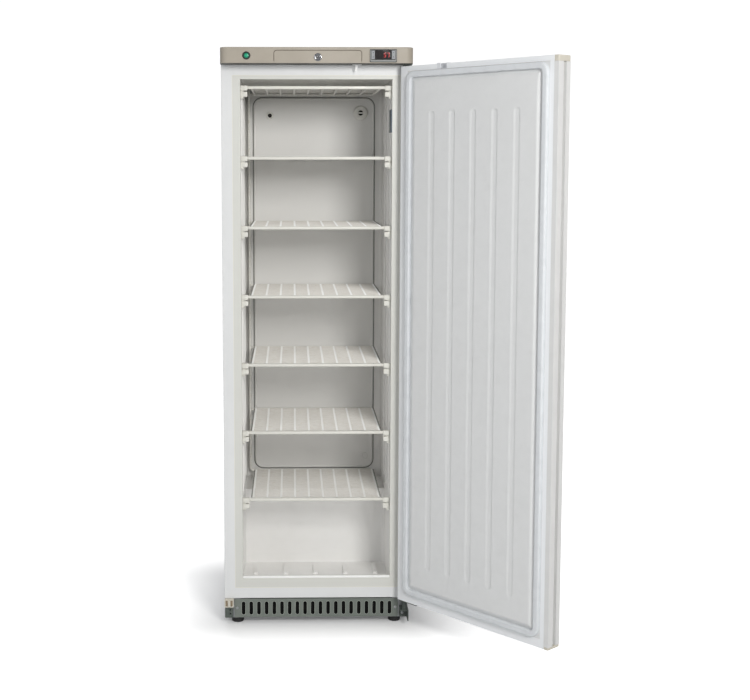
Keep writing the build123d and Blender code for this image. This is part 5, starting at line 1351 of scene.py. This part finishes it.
def dress_shelves():
    """Shelf tubes with their risers, wires, front bars and clips."""
    for i, node in enumerate(SHELVES):
        place(shelf_tube(node, i == 0), "cabinet", "shelf_enamel", node)
    place(risers(), "cabinet", "shelf_enamel", "riser_tubes")
    place(shelf_wire_mesh(), "cabinet", "shelf_enamel", "shelf_wires", finish="shelf_wire")
    place(front_bars(), "cabinet", "shelf_trim", "shelf_front_bars")
    place(bar_end_clips(), "cabinet", "shelf_trim", "bar_clips")


def dress_back_wall():
    """Fittings of the back wall and the plate on the side wall."""
    place(probe_ring(), "cabinet", "fitting_plastic", "probe_socket")
    place(painted_shade_hole("probe_hole", "probe_socket", 6.9), "cabinet", "fitting_plastic", finish="dark_bore")
    place(vent_ring(), "cabinet", "fitting_plastic", "vent_disc")
    place(painted_shade_hole("vent_hole", "vent_disc", 8.9), "cabinet", "fitting_plastic", finish="dark_bore")
    place(pressed_circle(), "cabinet", "liner_plastic")
    place(wall_plate(), "cabinet", "fitting_plastic", finish="bare_plate")


def dress_fascia():
    """Switch, lock and controller, and the line round the middle panel."""
    place(panel_line(), "cabinet", "fascia_plastic", finish="groove_shade")
    place(switch_ring(), "cabinet", "black_plastic", "switch_bezel")
    place(switch_lens(), "switch_button", "green_lens", "switch_button")
    place(lock_collar(), "cabinet", "lock_chrome", "lock_barrel")
    # painted shade in the keyway
    place(key_slot(), "lock_plug", "lock_chrome", finish="black_plastic")
    place(controller_plate(), "cabinet", "key_plastic", finish="controller_grey")
    place(display_digits(), "cabinet", "display_filter", finish="red_figures")
    for side in ("left", "right"):
        marks = key_marks("controller_key_" + side, "key_marks_" + side)
        place(marks, "key_" + side, "key_plastic", finish="key_mark")


def dress_base():
    """Grille, feet, rollers and screws."""
    place(slot_lips(), "cabinet", "grille_enamel", finish="slot_lip")
    place(cover_sockets(), "cabinet", "cover_plastic", finish="socket_brown")
    place(grille_shade_sheet(), "cabinet", "black_plastic", finish="dark_felt")
    for side in ("left", "right"):
        place(levelling_foot("foot_" + side), "foot_" + side, "foot_plastic", "foot_" + side)
        place(roller("roller_" + side), "roller_" + side, "roller_plastic", "roller_" + side)
    place(screw_heads(), "cabinet", "screw_steel", "case_screws")


def dress_door():
    """The door's skins, keeper, seal and bushes."""
    place(door_inside(), "door", "liner_plastic", "door_liner", finish="door_sheet")
    place(softened("door_skin"), "door", "white_enamel", "door_skin", finish="door_white_painted_light_inside")
    place(softened("door_keeper", 0.6), "door", "cover_plastic", "door_keeper", finish="keeper_white")
    place(seal(), "door", "gasket_rubber", "door_gasket")
    place(hinge_bushes(), "door", "bush_plastic", "door_hinge_bushes")


def dress_machine_bay():
    """Back sheet, compressor, drier, pipes and condenser."""
    place(pressed_back(), "cabinet", "zinc_steel", "back_panel")
    place(compressor_shell(), "cabinet", "compressor_enamel", "compressor")
    place(rubber_mounts(), "cabinet", "mount_rubber", "compressor_mounts")
    place(drier(), "cabinet", "drier_copper", "filter_drier")
    place(bay_pipes(), "cabinet", "drier_copper")
    place(condenser_grid(), "cabinet", "condenser_enamel", "condenser")
    place(condenser_wire_rows(), "cabinet", "condenser_enamel", "condenser_wires")


def main():
    """Dresses the freezer, group by group."""
    dress_store_room()
    dress_kept_shapes()
    dress_shelves()
    dress_back_wall()
    dress_fascia()
    dress_base()
    dress_door()
    dress_machine_bay()


main()
add_studio()
add_camera()
bpy.context.scene.view_settings.view_transform = "Standard"
bpy.context.scene.view_settings.look = "None"
